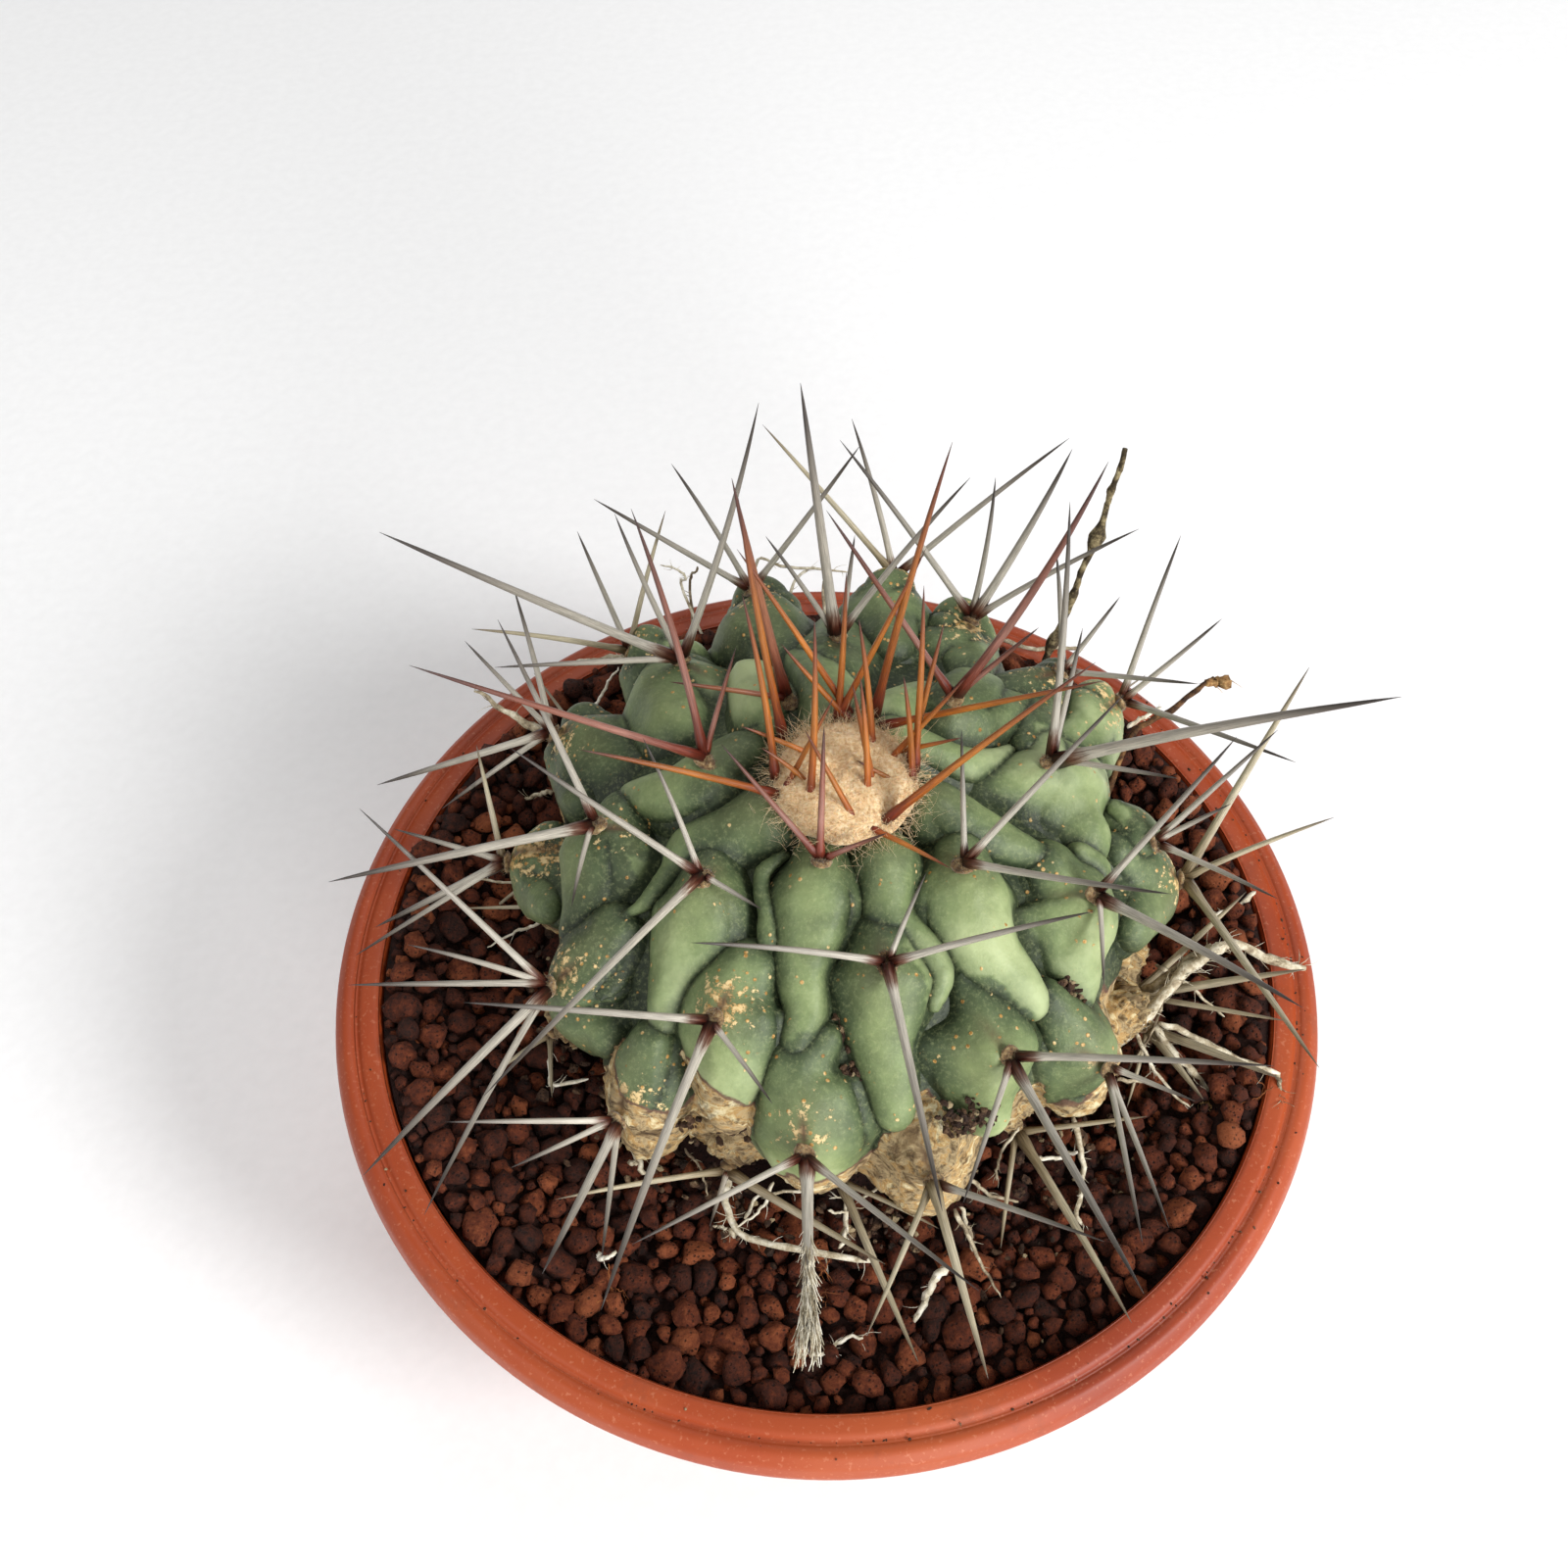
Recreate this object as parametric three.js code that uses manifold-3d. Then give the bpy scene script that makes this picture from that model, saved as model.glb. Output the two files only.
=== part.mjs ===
// Potted barrel cactus: a flat-globose stem of big chin-shaped tubercles with long spines, in a shallow
// terracotta-coloured plastic bowl filled with lava granules. Millimetres, +Z up, and the origin is at the
// centre of the pot's foot, on the pot's axis.

import * as THREE from 'three';
import { mergeVertices } from 'three/addons/utils/BufferGeometryUtils.js';
import Module from 'manifold-3d';

const wasm = await Module();
wasm.setup();

// Pot
const potHeight = 75;
const potRimRadius = 90;
const potMouthRadius = 81;
const potGrooveRadius = 85.4;
const potRimDrop = 10;
const potFootRadius = 52;
const potWall = 2;
const potFloor = 2.5;
const potFootRing = 2.5;
const potSides = 48;
const drainHoles = 6;
const drainHoleRadius = 4;
const drainCircleRadius = 34;

// Substrate of lava granules
const soilDrop = 9;
const soilTop = potHeight - soilDrop;
const soilRelief = 1.3;
const granuleSpacing = 9.5;
const soilRings = 10;
const soilStep = 4.6;
const soilColumns = 72;

// Stem: the tubercle tips lie on a flattened dome
const fit = 0.3;
const domeRadius = 58.5;
const domeHeight = 35;
const domeCentre = new THREE.Vector3(3.2, 3.2, potHeight + 17.5);
const coreShare = 0.85;
const collarRadius = 34;
const rootDepth = 30;

// Tubercles: one step round the dome for each new one, and the 18th is the next one down the same row
const turnStep = -99.7;
const firstTurn = 34;
const rowStep = 18;
const youngest = 5;
const firstDead = 34;
const last = 45;
const driedDrop = 24;
const driedLift = 0.9;
const head = { young: 5.6, growth: 0.42, full: 9.2, dried: 6.2 };
const chin = { young: 7.5, loss: 0.85, full: -3.5, most: 0.7 };
const saddleDepth = 10.5;
const waistPinch = 0.4;
const keelRise = 0.1;
const stationShares = [-1, -0.86, -0.5, -0.16, 0.16, 0.5, 0.86, 1];

// Spines
const spineSides = 3;
const spineGap = 0.35;
const spineBend = 0.45;
const bendThickness = 0.66;
const rootRise = 1.2;
const rootAside = 0.8;
const hiddenSpine = { count: 4, shortest: 26, spread: 16 };

// The felt cushion of an areole
const felt = { radius: 2.6, rise: 1.3, top: 2.3, depth: 2, sides: 6 };

// The place that the plant was sighted from, for the places that were read off by eye: where it stood
// in this frame, how it was tipped, and its frame of 1600 by 1600 points
const sighting = {
  eye: new THREE.Vector3(-6.5, -144.1, potHeight + 263.6),
  tip: 55.4,
  roll: -1.5,
  focal: 1660,
  middle: 800,
};

// Sighted areoles, youngest first: the point of the frame where each tubercle's tip shows. A third value
// moves the areole on along its line of sight, for tubercles at the back that stand off the dome.
const areolesSeen = [
  [899, 732], [897, 862], [780, 820], [853, 737], [946, 806], [838, 880], [718, 776], [974, 713], [983, 884],
  [716, 897], [803, 715, 4], [1073, 777], [905, 984], [608, 843], [855, 650, 4], [1118, 914], [728, 1042],
  [696, 676, 3], [1082, 687, -7], [1031, 1078], [562, 1006], [768, 606], [1177, 860], [821, 1177],
  [566, 750, -2], [990, 635], [1130, 1090], [631, 1142], [645, 667, 4], [1141, 718, 3], [952, 1204],
  [519, 880], [912, 592, 5], [1203, 897],
];

// Sighted areoles of the dried tubercles round the foot of the stem
const deadSeen = {
  34: [744, 1188],
  37: [1035, 1149],
  38: [565, 1052],
  40: [1152, 1012],
  41: [856, 1198],
  44: [1166, 1046],
};
const deadHeight = soilTop + 12;

// Where the tip of each spine shows, by areole. A third value is the spine's thickness at its root.
const spineTips = {
  5: [[736, 759], [841, 740], [905, 850]],
  6: [[417, 679], [644, 519], [751, 661]],
  7: [[1131, 471, 2.4], [843, 521], [1060, 640]],
  8: [[981, 745], [1147, 709], [1195, 912]],
  9: [[520, 763], [656, 753], [494, 1118, 1.9], [777, 928]],
  10: [[747, 488, 2.2], [683, 696]],
  11: [[1092, 512], [1105, 641], [1430, 711, 3], [1202, 794]],
  12: [[705, 962], [1117, 930], [945, 890], [962, 1236, 2.3]],
  13: [[335, 900, 2.4], [508, 632], [583, 925]],
  14: [[817, 391, 2.6], [781, 547], [990, 487], [872, 546]],
  15: [[1262, 752], [1329, 1028, 2.3], [1126, 1006]],
  16: [[473, 1023], [613, 1337, 2.3], [788, 1126]],
  17: [[387, 543, 2.6], [505, 681], [774, 411], [627, 524]],
  18: [[1078, 562], [1143, 609], [1223, 698]],
  19: [[1300, 1088], [983, 1228], [1167, 1320, 2.4]],
  20: [[371, 1199, 2.4], [433, 1240], [367, 825], [416, 964], [356, 1005]],
  21: [[606, 509], [685, 473], [878, 454]],
  22: [[1304, 745], [1256, 820], [1304, 917]],
  23: [[826, 1383, 3], [645, 1270], [999, 1317]],
  24: [[524, 599], [474, 654], [385, 801, 2.2], [451, 825]],
  25: [[1016, 487], [1094, 458, 2.3], [1162, 540], [857, 449]],
  26: [[1166, 1268], [1193, 1253], [1220, 1124]],
  27: [[454, 1145], [521, 1192], [553, 1300, 2.4], [614, 1285]],
  28: [[589, 542], [679, 521], [481, 642]],
  29: [[1205, 546], [1247, 631], [1322, 778]],
  30: [[1008, 1407, 2.6], [884, 1364], [1127, 1267]],
  31: [[402, 846], [383, 946, 2.2], [363, 975], [486, 760]],
  32: [[1091, 447], [778, 433], [869, 427]],
  33: [[1336, 681, 2.2], [1362, 834], [1346, 1090, 2.3]],
  34: [[566, 1224], [903, 1290, 2.4], [724, 1252]],
  37: [[1155, 1350, 2.6], [1021, 1274], [1171, 1139]],
  38: [[563, 1120], [502, 1097]],
  40: [[1272, 910, 2.2], [1332, 989, 2.6], [1313, 1042]],
  41: [[937, 1390, 2.4], [958, 1254], [813, 1204]],
  44: [[1305, 1100, 2.6], [1228, 1122, 2.4], [1150, 1130]],
};

// Young spines of the crown: where the root shows and where the tip shows
const crownSpines = [
  [779, 809, 757, 606], [776, 825, 591, 765], [797, 814, 851, 711], [826, 831, 831, 631], [797, 761, 753, 508],
  [854, 745, 864, 584], [872, 727, 752, 560], [872, 743, 797, 657], [895, 729, 972, 451], [895, 816, 870, 698],
  [886, 831, 878, 690], [892, 777, 876, 631], [850, 742, 945, 560], [943, 809, 922, 690], [924, 791, 964, 635],
  [895, 745, 1128, 694], [950, 800, 943, 597], [901, 857, 1118, 676], [905, 850, 1027, 741], [894, 774, 981, 753],
  [896, 788, 985, 692], [938, 814, 874, 776], [879, 853, 821, 745], [888, 857, 970, 886], [845, 780, 756, 741],
  [840, 813, 776, 763],
];
const crown = { radius: 13.6, rise: 3.4, seat: 2.6, sides: 20 };

// A dry stalk stuck in the substrate behind the stem: where each of its kinks shows, and its height
const stalkSeen = [
  [1046, 722, 69], [1066, 676, 80], [1086, 628, 91], [1105, 585, 100], [1127, 522, 113], [1138, 492, 120],
  [1148, 458, 127],
];
const stalkRadius = 1.3;
const stalkRoot = 7;

const degrees = (angle) => THREE.MathUtils.degToRad(angle);

function seeded(seed) {
  let state = seed;
  return () => {
    state = (state * 1664525 + 1013904223) % 4294967296;
    return state / 4294967296;
  };
}

// Solids

function solid(geometry) {
  const bare = geometry.index ? geometry.clone() : geometry;
  bare.deleteAttribute('normal');
  bare.deleteAttribute('uv');
  const merged = mergeVertices(bare, 1e-4);
  return new wasm.Manifold(new wasm.Mesh({
    numProp: 3,
    vertProperties: new Float32Array(merged.attributes.position.array),
    triVerts: new Uint32Array(merged.index.array),
  }));
}

function geometryOf(body) {
  const mesh = body.getMesh();
  const geometry = new THREE.BufferGeometry();
  geometry.setAttribute('position', new THREE.BufferAttribute(new Float32Array(mesh.vertProperties), 3));
  geometry.setIndex(Array.from(mesh.triVerts));
  return geometry;
}

function joined(bodies) {
  let rest = bodies;
  while (rest.length > 1) {
    const pairs = [];
    for (let i = 0; i < rest.length; i += 2) {
      pairs.push(i + 1 < rest.length ? rest[i].add(rest[i + 1]) : rest[i]);
    }
    rest = pairs;
  }
  return rest[0];
}

// The main body of a join, with its sealed hollows filled and its loose scraps dropped
function whole(body) {
  return body.decompose().reduce((best, piece) => (piece.volume() > best.volume() ? piece : best));
}

// A closed skin over rings of points, each ring running anticlockwise seen from the skin's far end
function skin(start, rings, end) {
  const sides = rings[0].length;
  const points = [start, ...rings.flat(), end];
  const faces = [];
  const at = (ring, side) => 1 + ring * sides + (side % sides);
  for (let side = 0; side < sides; side += 1) {
    faces.push(0, at(0, side + 1), at(0, side));
    faces.push(points.length - 1, at(rings.length - 1, side), at(rings.length - 1, side + 1));
    for (let ring = 0; ring + 1 < rings.length; ring += 1) {
      faces.push(at(ring, side), at(ring, side + 1), at(ring + 1, side + 1));
      faces.push(at(ring, side), at(ring + 1, side + 1), at(ring + 1, side));
    }
  }
  const numbersOf = points.flatMap((p) => [p.x, p.y, p.z]);
  const geometry = new THREE.BufferGeometry();
  geometry.setAttribute('position', new THREE.Float32BufferAttribute(numbersOf, 3));
  geometry.setIndex(faces);
  return solid(geometry);
}

function turned(profile, sides) {
  const outline = profile.map(([radius, height]) => new THREE.Vector2(radius, height));
  return solid(new THREE.LatheGeometry(outline, sides).rotateX(Math.PI / 2));
}

function ringOf(centre, across, along, radius, sides, start = 0) {
  return Array.from({ length: sides }, (_, side) => {
    const angle = start + (side / sides) * 2 * Math.PI;
    return centre.clone()
      .addScaledVector(across, radius * Math.cos(angle))
      .addScaledVector(along, radius * Math.sin(angle));
  });
}

function squareTo(direction) {
  const helper = Math.abs(direction.z) < 0.9 ? new THREE.Vector3(0, 0, 1) : new THREE.Vector3(1, 0, 0);
  const across = new THREE.Vector3().crossVectors(helper, direction).normalize();
  return [across, new THREE.Vector3().crossVectors(direction, across)];
}

// Pot

function bowlRadius(height, inset) {
  const share = THREE.MathUtils.clamp(height / (potHeight - potRimDrop), 0, 1);
  const top = potMouthRadius + potWall + 0.6;
  return potFootRadius + 1.5 + (top - potFootRadius - 1.5) * Math.sin(share * Math.PI / 2) ** 0.85 - inset;
}

function potInside(gap) {
  const heights = [potFloor + potFootRing + gap, 16, 34, 56];
  const wall = heights.map((height, i) => [bowlRadius(height, potWall + gap) - (i === 0 ? 3 : 0), height]);
  return [...wall, [potMouthRadius - gap, potHeight - 4]];
}

function makePot() {
  const wallHeights = [2, 14, 30, 48, potHeight - potRimDrop];
  const profile = [
    [0, potFootRing],
    [potFootRadius - 7, potFootRing],
    [potFootRadius - 6, 0],
    [potFootRadius, 0],
    ...wallHeights.map((height) => [bowlRadius(height, 0), height]),
    [potRimRadius - 1, potHeight - potRimDrop],
    [potRimRadius, potHeight - 4.5],
    [potRimRadius - 0.7, potHeight - 1.8],
    [potRimRadius - 2.4, potHeight - 0.3],
    [potGrooveRadius + 0.7, potHeight - 0.4],
    [potGrooveRadius, potHeight - 1.2],
    [potGrooveRadius - 0.8, potHeight - 0.2],
    [potMouthRadius + 0.7, potHeight],
    [potMouthRadius, potHeight - 0.8],
    ...potInside(0).reverse(),
    [0, potFloor + potFootRing],
  ];
  let pot = turned(profile, potSides);
  for (let i = 0; i < drainHoles; i += 1) {
    const angle = (i / drainHoles) * 2 * Math.PI;
    const drill = new THREE.CylinderGeometry(drainHoleRadius, drainHoleRadius, 20, 12).rotateX(Math.PI / 2);
    drill.translate(drainCircleRadius * Math.cos(angle), drainCircleRadius * Math.sin(angle), 0);
    pot = pot.subtract(solid(drill));
  }
  return pot;
}

// Substrate: rounded granules raised from its surface, one on each cell of a jittered grid

function granuleHeight(x, y) {
  let top = -1;
  const column = Math.floor(x / granuleSpacing);
  const row = Math.floor(y / granuleSpacing);
  for (let i = column - 1; i <= column + 1; i += 1) {
    for (let j = row - 1; j <= row + 1; j += 1) {
      const draw = seeded(1000 + 97 * (i + 40) + 7919 * (j + 40));
      draw();
      const radius = granuleSpacing * (0.5 + 0.25 * draw());
      const dx = x - (i + 0.2 + 0.6 * draw()) * granuleSpacing;
      const dy = y - (j + 0.2 + 0.6 * draw()) * granuleSpacing;
      top = Math.max(top, 1 - 2 * (dx * dx + dy * dy) / (radius * radius));
    }
  }
  return soilTop + soilRelief * top;
}

function makeSubstrate(holes) {
  const edge = potMouthRadius - fit;
  const floorTop = soilTop - soilRelief - 1.2;
  const floor = turned([
    [0, potFloor + potFootRing + fit],
    ...potInside(fit).slice(0, -1),
    [edge, floorTop],
    [0, floorTop],
  ], potSides);
  const rings = [];
  for (let ring = 0; ring < soilRings; ring += 1) {
    const radius = edge - 0.1 - ring * soilStep;
    rings.push(Array.from({ length: soilColumns }, (_, side) => {
      const angle = ((side + 0.5 * (ring % 2)) / soilColumns) * 2 * Math.PI;
      const inset = ring === 0 ? Math.cos(Math.PI / potSides) : 1;
      const x = radius * inset * Math.cos(angle);
      const y = radius * inset * Math.sin(angle);
      return new THREE.Vector3(x, y, granuleHeight(x, y));
    }));
  }
  const under = rings[0].map((p) => new THREE.Vector3(p.x, p.y, floorTop - 1.2));
  const bottom = new THREE.Vector3(0, 0, floorTop - 1.2);
  const relief = skin(bottom, [under, ...rings], new THREE.Vector3(0, 0, soilTop - 1));
  return whole(floor.add(relief).subtract(holes));
}

// Sighting

function sightLine(px, py) {
  const tip = degrees(sighting.tip);
  const roll = degrees(sighting.roll);
  const back = new THREE.Vector3(0, -Math.cos(tip), Math.sin(tip));
  const level = new THREE.Vector3(1, 0, 0);
  const rise = new THREE.Vector3().crossVectors(back, level);
  const right = level.clone().multiplyScalar(Math.cos(roll)).addScaledVector(rise, Math.sin(roll));
  const up = rise.clone().multiplyScalar(Math.cos(roll)).addScaledVector(level, -Math.sin(roll));
  return right.multiplyScalar((px - sighting.middle) / sighting.focal)
    .addScaledVector(up, -(py - sighting.middle) / sighting.focal)
    .sub(back)
    .normalize();
}

function sightedAtHeight(px, py, height) {
  const line = sightLine(px, py);
  return sighting.eye.clone().addScaledVector(line, (height - sighting.eye.z) / line.z);
}

// Where a line of sight first meets the dome, or else passes closest to it
function sightedOnDome(px, py, beyond = 0) {
  const shape = new THREE.Vector3(1 / domeRadius, 1 / domeRadius, 1 / domeHeight);
  const line = sightLine(px, py);
  const from = sighting.eye.clone().sub(domeCentre).multiply(shape);
  const along = line.clone().multiply(shape);
  const a = along.lengthSq();
  const b = 2 * from.dot(along);
  const c = from.lengthSq() - 1;
  const reach = (-b - Math.sqrt(Math.max(b * b - 4 * a * c, 0))) / (2 * a);
  return sighting.eye.clone().addScaledVector(line, reach + beyond);
}

// Places on the dome are { turn, tilt, lift }: degrees round it, degrees down from its top, share of its size

function onDome({ turn, tilt, lift }) {
  const a = degrees(turn);
  const t = degrees(tilt);
  return new THREE.Vector3(
    domeRadius * Math.sin(t) * Math.cos(a),
    domeRadius * Math.sin(t) * Math.sin(a),
    domeHeight * Math.cos(t),
  ).multiplyScalar(lift).add(domeCentre);
}

function placeOf(point) {
  const q = point.clone().sub(domeCentre).divide(new THREE.Vector3(domeRadius, domeRadius, domeHeight));
  const turn = THREE.MathUtils.radToDeg(Math.atan2(q.y, q.x));
  return { turn, tilt: THREE.MathUtils.radToDeg(Math.acos(q.z / q.length())), lift: q.length() };
}

function outward(place) {
  const p = onDome({ ...place, lift: 1 }).sub(domeCentre);
  return new THREE.Vector3(p.x / domeRadius ** 2, p.y / domeRadius ** 2, p.z / domeHeight ** 2).normalize();
}

// Tubercles

// The rule that the sighted areoles follow. The dried tubercles that don't show lie below it, round the foot.
function spiralPlace(n) {
  const turn = firstTurn + turnStep * n;
  const tilt = 7 + 2.87 * n ** 0.945;
  return n < firstDead ? { turn, tilt, lift: 1 } : { turn, tilt: tilt + driedDrop, lift: driedLift };
}

function areolePlace(n) {
  if (n < areolesSeen.length) return placeOf(sightedOnDome(...areolesSeen[n]));
  if (deadSeen[n]) return placeOf(sightedAtHeight(...deadSeen[n], deadHeight - 0.25 * (n - firstDead)));
  return spiralPlace(n);
}

const between = (from, to, share) => {
  const turn = ((to.turn - from.turn) % 360 + 540) % 360 - 180;
  return {
    turn: from.turn + turn * share,
    tilt: from.tilt + (to.tilt - from.tilt) * share,
    lift: from.lift + (to.lift - from.lift) * share,
  };
};

function headRadius(n) {
  return n < firstDead ? Math.min(head.young + head.growth * n, head.full) : head.dried;
}

// How far down the row the thick of the tubercle lies from its areole: the young ones point up
function headShift(n) {
  if (n >= firstDead) return 0;
  const shift = chin.young - chin.loss * Math.max(n - 6, 0);
  return THREE.MathUtils.clamp(shift, chin.full, chin.most * headRadius(n));
}

// Stations along one tubercle, from its upper end to its lower end, with the middle of its flesh at each
function stations(n) {
  const place = areolePlace(n);
  const size = headRadius(n);
  const shift = headShift(n);
  const dead = n >= firstDead;
  const middle = { ...place, tilt: place.tilt + THREE.MathUtils.radToDeg(shift / 50) };
  const up = n >= rowStep ? areolePlace(n - rowStep) : { ...place, tilt: Math.max(place.tilt - 34, 0) };
  const down = dead ? { ...place, tilt: place.tilt + 30 } : areolePlace(n + rowStep);
  const headDepth = Math.sqrt(size * size - shift * shift);
  const endDepth = Math.max(saddleDepth, size + 2);
  return stationShares.map((share) => {
    const reach = Math.abs(share);
    const spot = between(middle, share < 0 ? up : down, reach * (share < 0 ? 0.5 : 0.56));
    const depth = headDepth + (endDepth - headDepth) * reach ** 1.7;
    const waist = size * (1 - waistPinch * reach ** 1.3);
    return {
      n,
      spot,
      centre: onDome(spot).addScaledVector(outward(spot), -depth),
      radius: waist * Math.sqrt(1 - reach ** 7),
    };
  });
}

const numbers = Array.from({ length: last + 1 }, (_, n) => n);
const allStations = numbers.flatMap(stations).map(({ n, spot }) => ({ n, point: onDome(spot) }));

// Half the width of the flesh at a station, which swells sideways to fill the space up to its neighbours
function halfWidth(station) {
  const point = onDome(station.spot);
  const beside = allStations.filter((other) => (other.n - station.n) % rowStep !== 0);
  const room = Math.min(...beside.map((other) => other.point.distanceTo(point)));
  return THREE.MathUtils.clamp(0.62 * room, 0.9 * station.radius, 1.4 * station.radius);
}

// Directions round a tubercle's flesh, in degrees from its outer side: most of them where it shows
const girth = [0, 36, 70, 110, 180, 250, 290, 324];

function makeTubercle(n) {
  const line = stations(n);
  const rings = line.slice(1, -1).map((station, i) => {
    const along = line[i + 2].centre.clone().sub(line[i].centre).normalize();
    const side = new THREE.Vector3().crossVectors(along, outward(station.spot)).normalize();
    const rise = new THREE.Vector3().crossVectors(side, along);
    const wide = halfWidth(station);
    return girth.map((angle) => {
      const keel = 1 + keelRise * Math.max(Math.cos(degrees(angle)), 0) ** 4;
      return station.centre.clone()
        .addScaledVector(rise, station.radius * keel * Math.cos(degrees(angle)))
        .addScaledVector(side, wide * Math.sin(degrees(angle)));
    });
  });
  return skin(line[0].centre, rings, line[line.length - 1].centre);
}

// Areoles and spines

function areole(n) {
  const point = onDome(areolePlace(n));
  const line = stations(n);
  const flesh = line[3].centre.clone().lerp(line[4].centre, 0.5);
  return { n, point, axis: point.clone().sub(flesh).normalize() };
}

// The felt of an areole is a cone sunk in the tip of its tubercle, with a low cushion of felt above
function makeFelt({ point, axis }) {
  const [across, along] = squareTo(axis);
  const up = (rise) => point.clone().addScaledVector(axis, rise);
  const shoulder = ringOf(up(felt.rise), across, along, felt.radius, felt.sides);
  return skin(up(-felt.depth), [shoulder], up(felt.top));
}

// The pit that the felt sits in: the same cone, clear of it all round and open to the air
function makePit({ point, axis }) {
  const [across, along] = squareTo(axis);
  const slope = felt.radius / (felt.depth + felt.rise);
  const lower = fit * Math.sqrt(1 + 1 / slope ** 2);
  const up = (rise) => point.clone().addScaledVector(axis, rise);
  const mouth = 2.4;
  const radius = slope * (felt.depth + lower + mouth) + 0.3;
  return skin(up(-felt.depth - lower), [ringOf(up(mouth), across, along, radius, felt.sides)], up(mouth));
}

function spineOf(root, tip, thick) {
  const run = tip.clone().sub(root);
  const length = run.length();
  const draw = seeded(Math.round(length * 1000));
  draw();
  const [across, along] = squareTo(run.clone().normalize());
  const bend = length * 0.03 * (draw() - 0.3);
  const middle = root.clone().lerp(tip, spineBend)
    .addScaledVector(across, bend * (draw() - 0.5))
    .addScaledVector(along, bend);
  return { root, middle, tip, length, radius: (thick ?? 1.1 + length / 70) / 2 };
}

function makeSpine({ root, middle, tip, radius }) {
  const [across, along] = squareTo(tip.clone().sub(root).normalize());
  const rings = [
    ringOf(root, across, along, radius, spineSides),
    ringOf(middle, across, along, radius * bendThickness, spineSides),
  ];
  return skin(root, rings, tip);
}

function radiusAt(spine, share) {
  if (share < spineBend) return spine.radius * (1 - (1 - bendThickness) * share / spineBend);
  return spine.radius * bendThickness * (1 - share) / (1 - spineBend);
}

function pointAt(spine, share) {
  return share < spineBend
    ? spine.root.clone().lerp(spine.middle, share / spineBend)
    : spine.middle.clone().lerp(spine.tip, (share - spineBend) / (1 - spineBend));
}

const shares = Array.from({ length: 41 }, (_, i) => i / 40);

// How far a point is from the side of a spine
function clearOf(p, spine) {
  const halves = [[spine.root, spine.middle, 0, spineBend], [spine.middle, spine.tip, spineBend, 1]];
  return Math.min(...halves.map(([from, to, low, high]) => {
    const run = to.clone().sub(from);
    const along = THREE.MathUtils.clamp(p.clone().sub(from).dot(run) / run.lengthSq(), 0, 1);
    const near = from.clone().addScaledVector(run, along);
    return near.distanceTo(p) - radiusAt(spine, low + (high - low) * along) * 1.1;
  }));
}

function tooClose(one, other) {
  if (one.root.distanceTo(other.root) > one.length + other.length + 4) return false;
  return shares.some((share) => {
    const radius = radiusAt(one, share) * 1.1 + spineGap + 0.15;
    return clearOf(pointAt(one, share), other) < radius;
  });
}

const crownTop = domeCentre.clone().add(new THREE.Vector3(0, 0, domeHeight));
const crownOwn = -1;

// Whether a spine would touch the soil, the pot's rim, the stem or another areole
function hitsBody(spine, own, stem, areoles) {
  const low = shares.some((share) => {
    const p = pointAt(spine, share);
    const radius = radiusAt(spine, share) + spineGap;
    if (p.z < soilTop + soilRelief + radius) return true;
    if (Math.hypot(p.x, p.y) > potMouthRadius - 1 - radius && p.z < potHeight + radius) return true;
    return areoles.some((other) => other.n !== own && other.point.distanceTo(p) < felt.radius + 0.4 + radius);
  });
  return low || !makeSpine({ ...spine, radius: spine.radius + spineGap }).intersect(stem).isEmpty();
}

// Spines stand side by side in the felt, each on the side that it points to
function rootTowards({ point, axis }, tip) {
  const aim = tip.clone().sub(point);
  const aside = aim.addScaledVector(axis, -aim.dot(axis));
  return point.clone().addScaledVector(axis, rootRise).addScaledVector(aside.normalize(), rootAside);
}

// The spine from an areole whose tip lies on a line of sight. The stretch is its real length over the
// length that shows, and it leans towards the eye or away from it.
function sightedSpine(here, [px, py, thick], stretch, nearer) {
  const line = sightLine(px, py);
  const foot = here.point.clone().sub(sighting.eye).dot(line);
  const nearest = sighting.eye.clone().addScaledVector(line, foot);
  const away = Math.max(nearest.distanceTo(here.point), 4);
  const lean = away * Math.sqrt(stretch * stretch - 1) * (nearer ? -1 : 1);
  const tip = nearest.addScaledVector(line, lean);
  return spineOf(rootTowards(here, tip), tip, thick);
}

// The first lean that keeps a sighted spine clear of everything, and else the first small sideways move
const leans = [1.12, 1.06, 1.2, 1.03, 1.28, 1.01, 1.38, 1.5, 1.7];
const moves = [
  [0, 0], [8, 0], [-8, 0], [0, 8], [0, -8], [14, 10], [-14, 10], [14, -10], [-14, -10], [24, 0], [-24, 0],
  [0, 26], [0, -26],
];

function clearSpine(here, [px, py, thick], blocked) {
  for (const [dx, dy] of moves) {
    for (const nearer of [true, false]) {
      for (const stretch of leans) {
        const spine = sightedSpine(here, [px + dx, py + dy, thick], stretch, nearer);
        if (!blocked(spine)) return spine;
      }
    }
  }
  return null;
}

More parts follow.
